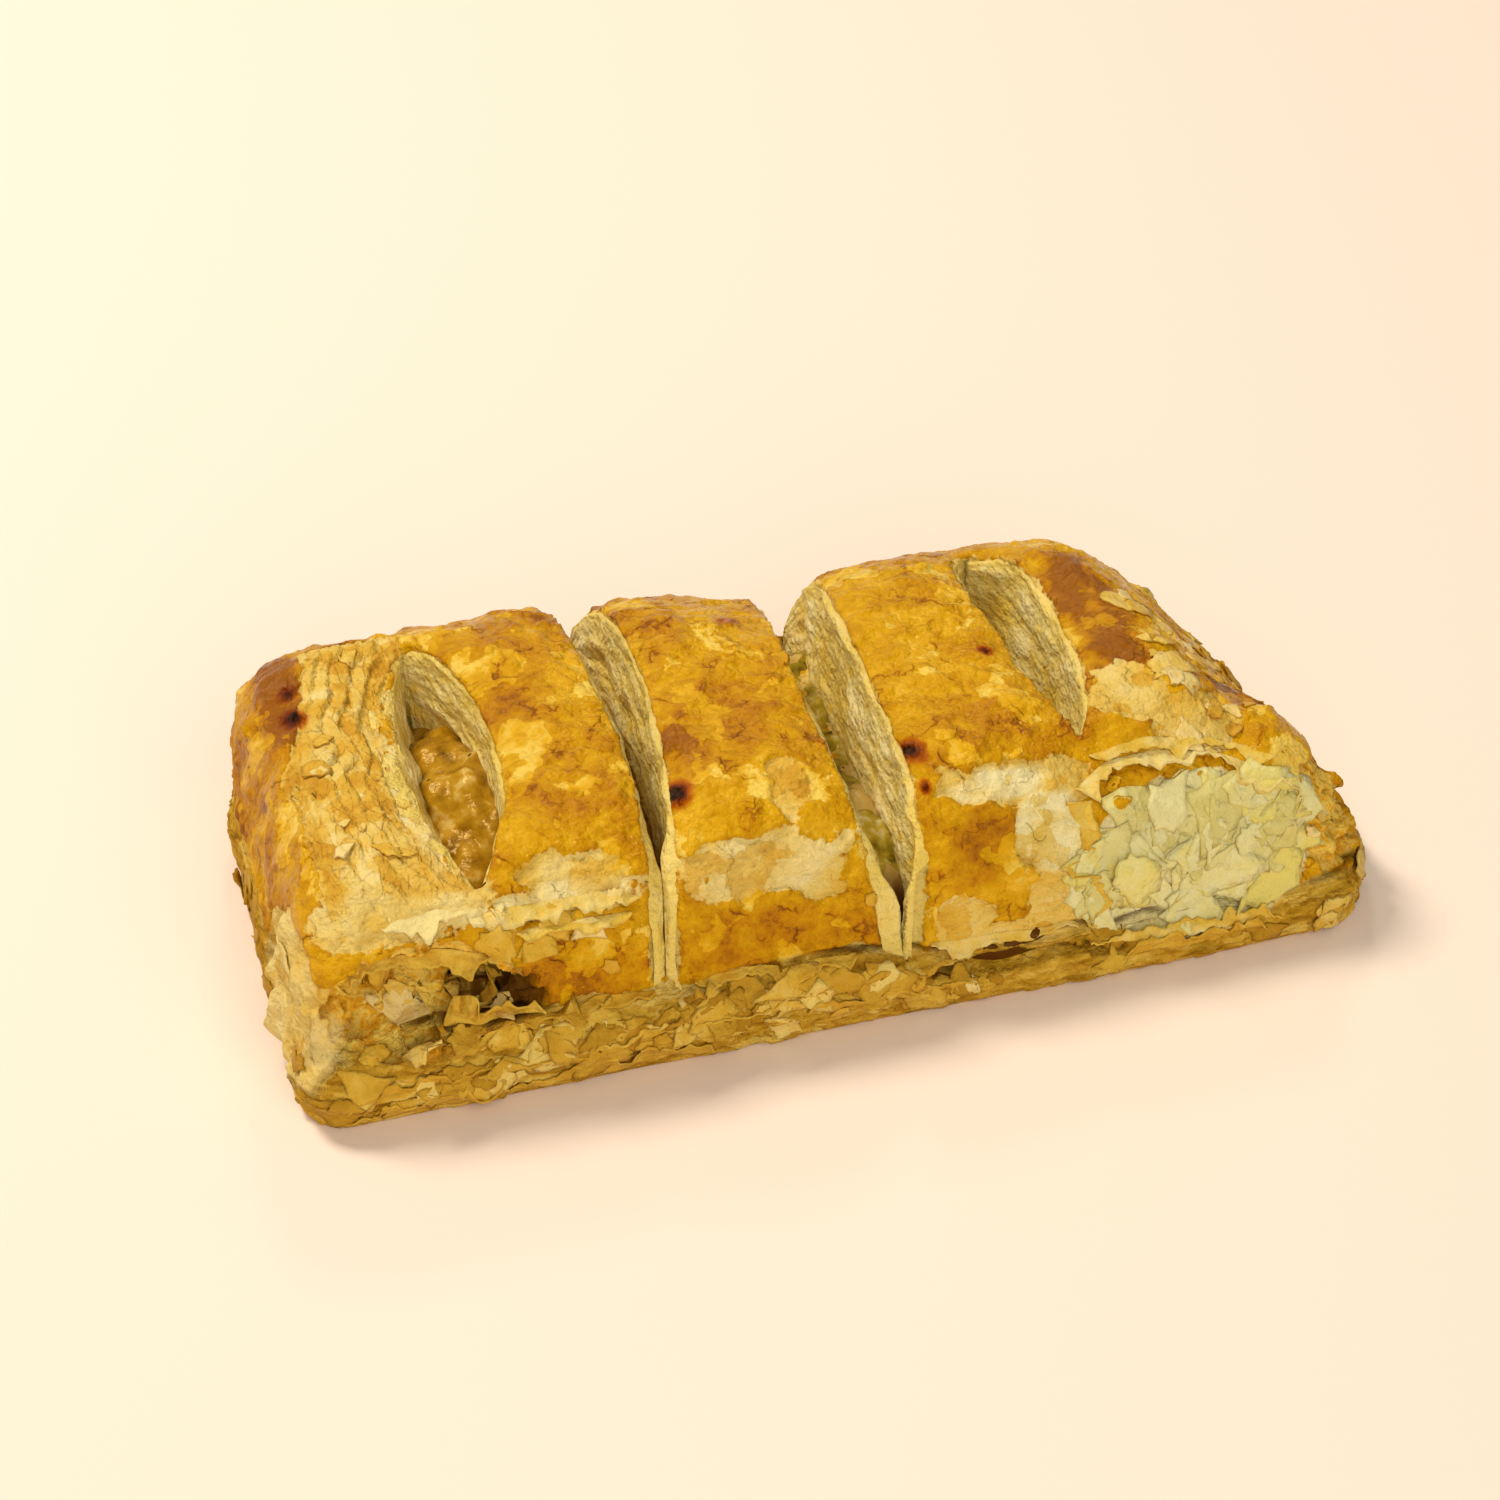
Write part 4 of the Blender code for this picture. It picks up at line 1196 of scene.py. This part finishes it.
class PUFF_OT_torn_strips(bpy.types.Operator):
    """Hangs the ragged strips of leaf round the patch, over the pocket and along the base"""

    bl_idname = "puff.torn_strips"
    bl_label = "Torn strips"

    def execute(self, context):
        tree, smooth = trees()
        bm = bmesh.new()
        tones = []
        for number, (path, width, lift, heading, hug, tone) in enumerate(STRIPS):
            strip = torn_strip(tree, smooth, path, width, lift, heading, hug, number + 1)
            tones += [tone * 0.8] * len(strip.vertices)
            pour(bm, strip)
        piece = finished_leaves("torn_strips", bm, tones, [0.0] * len(tones), STRIP)
        stops = (0.3, "#B28420"), (0.55, "#C99A2C"), (0.75, "#D9B446"), (1.0, "#E3CF88")
        material = loose_leaf_material("torn_strips_of_leaf", stops, "#9A6412", 0.5, 0.06)
        settle(piece, "pastry", material)
        return {"FINISHED"}


class PUFF_OT_torn_patch(bpy.types.Operator):
    """Lays the large pale leaves of the torn patch at the front right"""

    bl_idname = "puff.torn_patch"
    bl_label = "Torn patch"

    def execute(self, context):
        settings = context.scene.puff
        draw = random.Random(settings.seed + 1)
        tree, smooth = trees()
        flight = Vector((0, 0.75, -0.6)).normalized()
        places = []
        while len(places) < PATCH_LEAVES:
            aim = Vector((draw.uniform(30, 60), draw.uniform(-36, -22), draw.uniform(6, 24))) * MM
            where, _, _, _ = tree.ray_cast(aim - flight * 0.05, flight)
            if where is None or egg(np.array([where]) / MM, *TORN)[0] > 0.3:
                continue
            across = draw.uniform(5, 15) * MM
            matrix = lying(where, smooth.find_nearest(where)[1], across, draw, 0.05)
            places.append((matrix, draw.uniform(0.05, 0.5) * MM, draw.uniform(0, 1.1) * MM))
        piece = joined_leaves("torn_patch_leaves", places, tree, draw, kinds=30, palest=0.75)
        stops = (0.2, "#CBBA66"), (0.45, "#D6CA80"), (0.75, "#E0D79A"), (1.0, "#DDCB6C")
        # The edge colour here is painted shade along each pale leaf's edge.
        material = loose_leaf_material("pale_inner_leaves", stops, "#B7A048", 0.5, 0.1)
        settle(piece, "pastry", material)
        return {"FINISHED"}


class PUFF_OT_skin_scales(bpy.types.Operator):
    """Lifts scales of skin and leaf on the lid, the terraces, the knob and in the pocket"""

    bl_idname = "puff.skin_scales"
    bl_label = "Skin scales"

    def execute(self, context):
        settings = context.scene.puff
        draw = random.Random(settings.seed + 2)
        tree, smooth = trees()
        down = (0, 0.2, -1)
        fields = [
            (10, (-62, -50), (-26, 18), (60, 60), down, (2.5, 5), 0.1, 0.4, 0),
            (40, (46, 66), (-30, 0), (60, 60), down, (3, 9), 0.1, 0.7, 0),
            (8, (54, 70), (-50, -50), (8, 26), (0, 1, -0.3), (2, 5), 0.2, 1.0, 0),
            (16, (-66, -44), (-60, -60), (24, 42), (0, 0.9, -0.5), (4, 9), 0.5, 2.6, 0),
            (6, (-44, -28), (-80, -80), (52, 66), (0, 0.9, -0.75), (3, 7), 0.2, 1.4, 0.6),
            (6, (-22, 34), (-80, -80), (44, 66), (0, 0.7, -0.7), (2, 5), 0.1, 0.5, 0),
        ]
        places = thrown(tree, smooth, fields, draw)
        piece = joined_leaves("skin_scales", places, tree, draw, kinds=24, palest=0.7)
        stops = (0.25, "#C4902A"), (0.5, "#D3A532"), (0.75, "#DEBA54"), (1.0, "#E6CC84")
        material = loose_leaf_material("lifted_scales", stops, "#A06A14", 0.4, 0.05)
        settle(piece, "pastry", material)
        return {"FINISHED"}


class PUFF_OT_filling(bpy.types.Operator):
    """Builds the lumpy chicken filling over its solid"""

    bl_idname = "puff.filling"
    bl_label = "Filling"

    def execute(self, context):
        bm = merged_copy("filling", grow=1.0)
        mesh = remeshed("filling_bed", bm, (0.5) * MM)
        points = corners_of(mesh)
        points = evened(mesh, points, 12, np.full(len(points), 0.5))
        move_corners(mesh, points)
        normals = read(mesh, "normal")
        up = ramp(normals[:, 2], 0.0, 0.5)
        x, y, _ = points.T
        heap = sum(
            high * np.exp(-(((x - at_x) / wide) ** 2) - ((y - at_y) / long) ** 2)
            for high, at_x, wide, at_y, long in HEAPS
        )
        chunks = np.array([noise.voronoi(spot)[0][0] for spot in (points / (3.0, 5.6, 3.4)).tolist()])
        lump = heap + 2.4 * (0.55 - chunks) + 0.7 * rough(points, 4, 41)
        move_corners(mesh, points + normals * (lump * up)[:, None])
        piece = new_object("filling_bed", mesh)
        settle(piece, "filling", filling_material())
        return {"FINISHED"}


class PUFF_OT_stage(bpy.types.Operator):
    """Sets the pale floor, the soft studio light and the camera"""

    bl_idname = "puff.stage"
    bl_label = "Stage"

    def execute(self, context):
        scene = context.scene
        bm = bmesh.new()
        bmesh.ops.create_grid(bm, x_segments=1, y_segments=1, size=6)
        floor = new_object("floor", bm)
        floor.data.materials.append(floor_material())
        world = bpy.data.worlds.new("studio")
        world.use_nodes = True
        world.node_tree.nodes["Background"].inputs["Color"].default_value = linear("#F4EEE8")
        world.node_tree.nodes["Background"].inputs["Strength"].default_value = 0.30
        scene.world = world
        for name, place, size, power, colour in LAMPS:
            lamp = bpy.data.lights.new(name, "AREA")
            lamp.size, lamp.energy, lamp.color = size, power, linear(colour)[:3]
            placed(name, lamp, place, [-along for along in place])
        view = bpy.data.cameras.new("view")
        view.lens, view.sensor_width, view.clip_start = 96, 36, 0.01
        scene.camera = placed("view", view, (-0.1238, -0.3904, 0.3378), (0.2304, 0.7536, -0.6157))
        scene.view_settings.view_transform = "Standard"
        return {"FINISHED"}


class PUFF_PT_panel(bpy.types.Panel):
    """Lists the puff's sizes and its building steps"""

    bl_idname = "PUFF_PT_panel"
    bl_label = "Chicken Puff"
    bl_space_type = "VIEW_3D"
    bl_region_type = "UI"
    bl_category = "Chicken Puff"

    def draw(self, context):
        settings = context.scene.puff
        for name in PuffSettings.__annotations__:
            self.layout.prop(settings, name)
        for step in STEPS:
            self.layout.operator(step.bl_idname)


STEPS = (
    PUFF_OT_stage,
    PUFF_OT_crust,
    PUFF_OT_cut_walls,
    PUFF_OT_seam_leaves,
    PUFF_OT_torn_strips,
    PUFF_OT_torn_patch,
    PUFF_OT_skin_scales,
    PUFF_OT_filling,
)
CLASSES = (PuffSettings, *STEPS, PUFF_PT_panel)


def register():
    for cls in CLASSES:
        bpy.utils.register_class(cls)
    bpy.types.Scene.puff = PointerProperty(type=PuffSettings)


def unregister():
    del bpy.types.Scene.puff
    for cls in reversed(CLASSES):
        bpy.utils.unregister_class(cls)


def main():
    register()
    bpy.ops.puff.stage()
    bpy.ops.puff.crust()
    bpy.ops.puff.cut_walls()
    bpy.ops.puff.seam_leaves()
    bpy.ops.puff.torn_strips()
    bpy.ops.puff.torn_patch()
    bpy.ops.puff.skin_scales()
    bpy.ops.puff.filling()


if __name__ == "__main__":
    main()
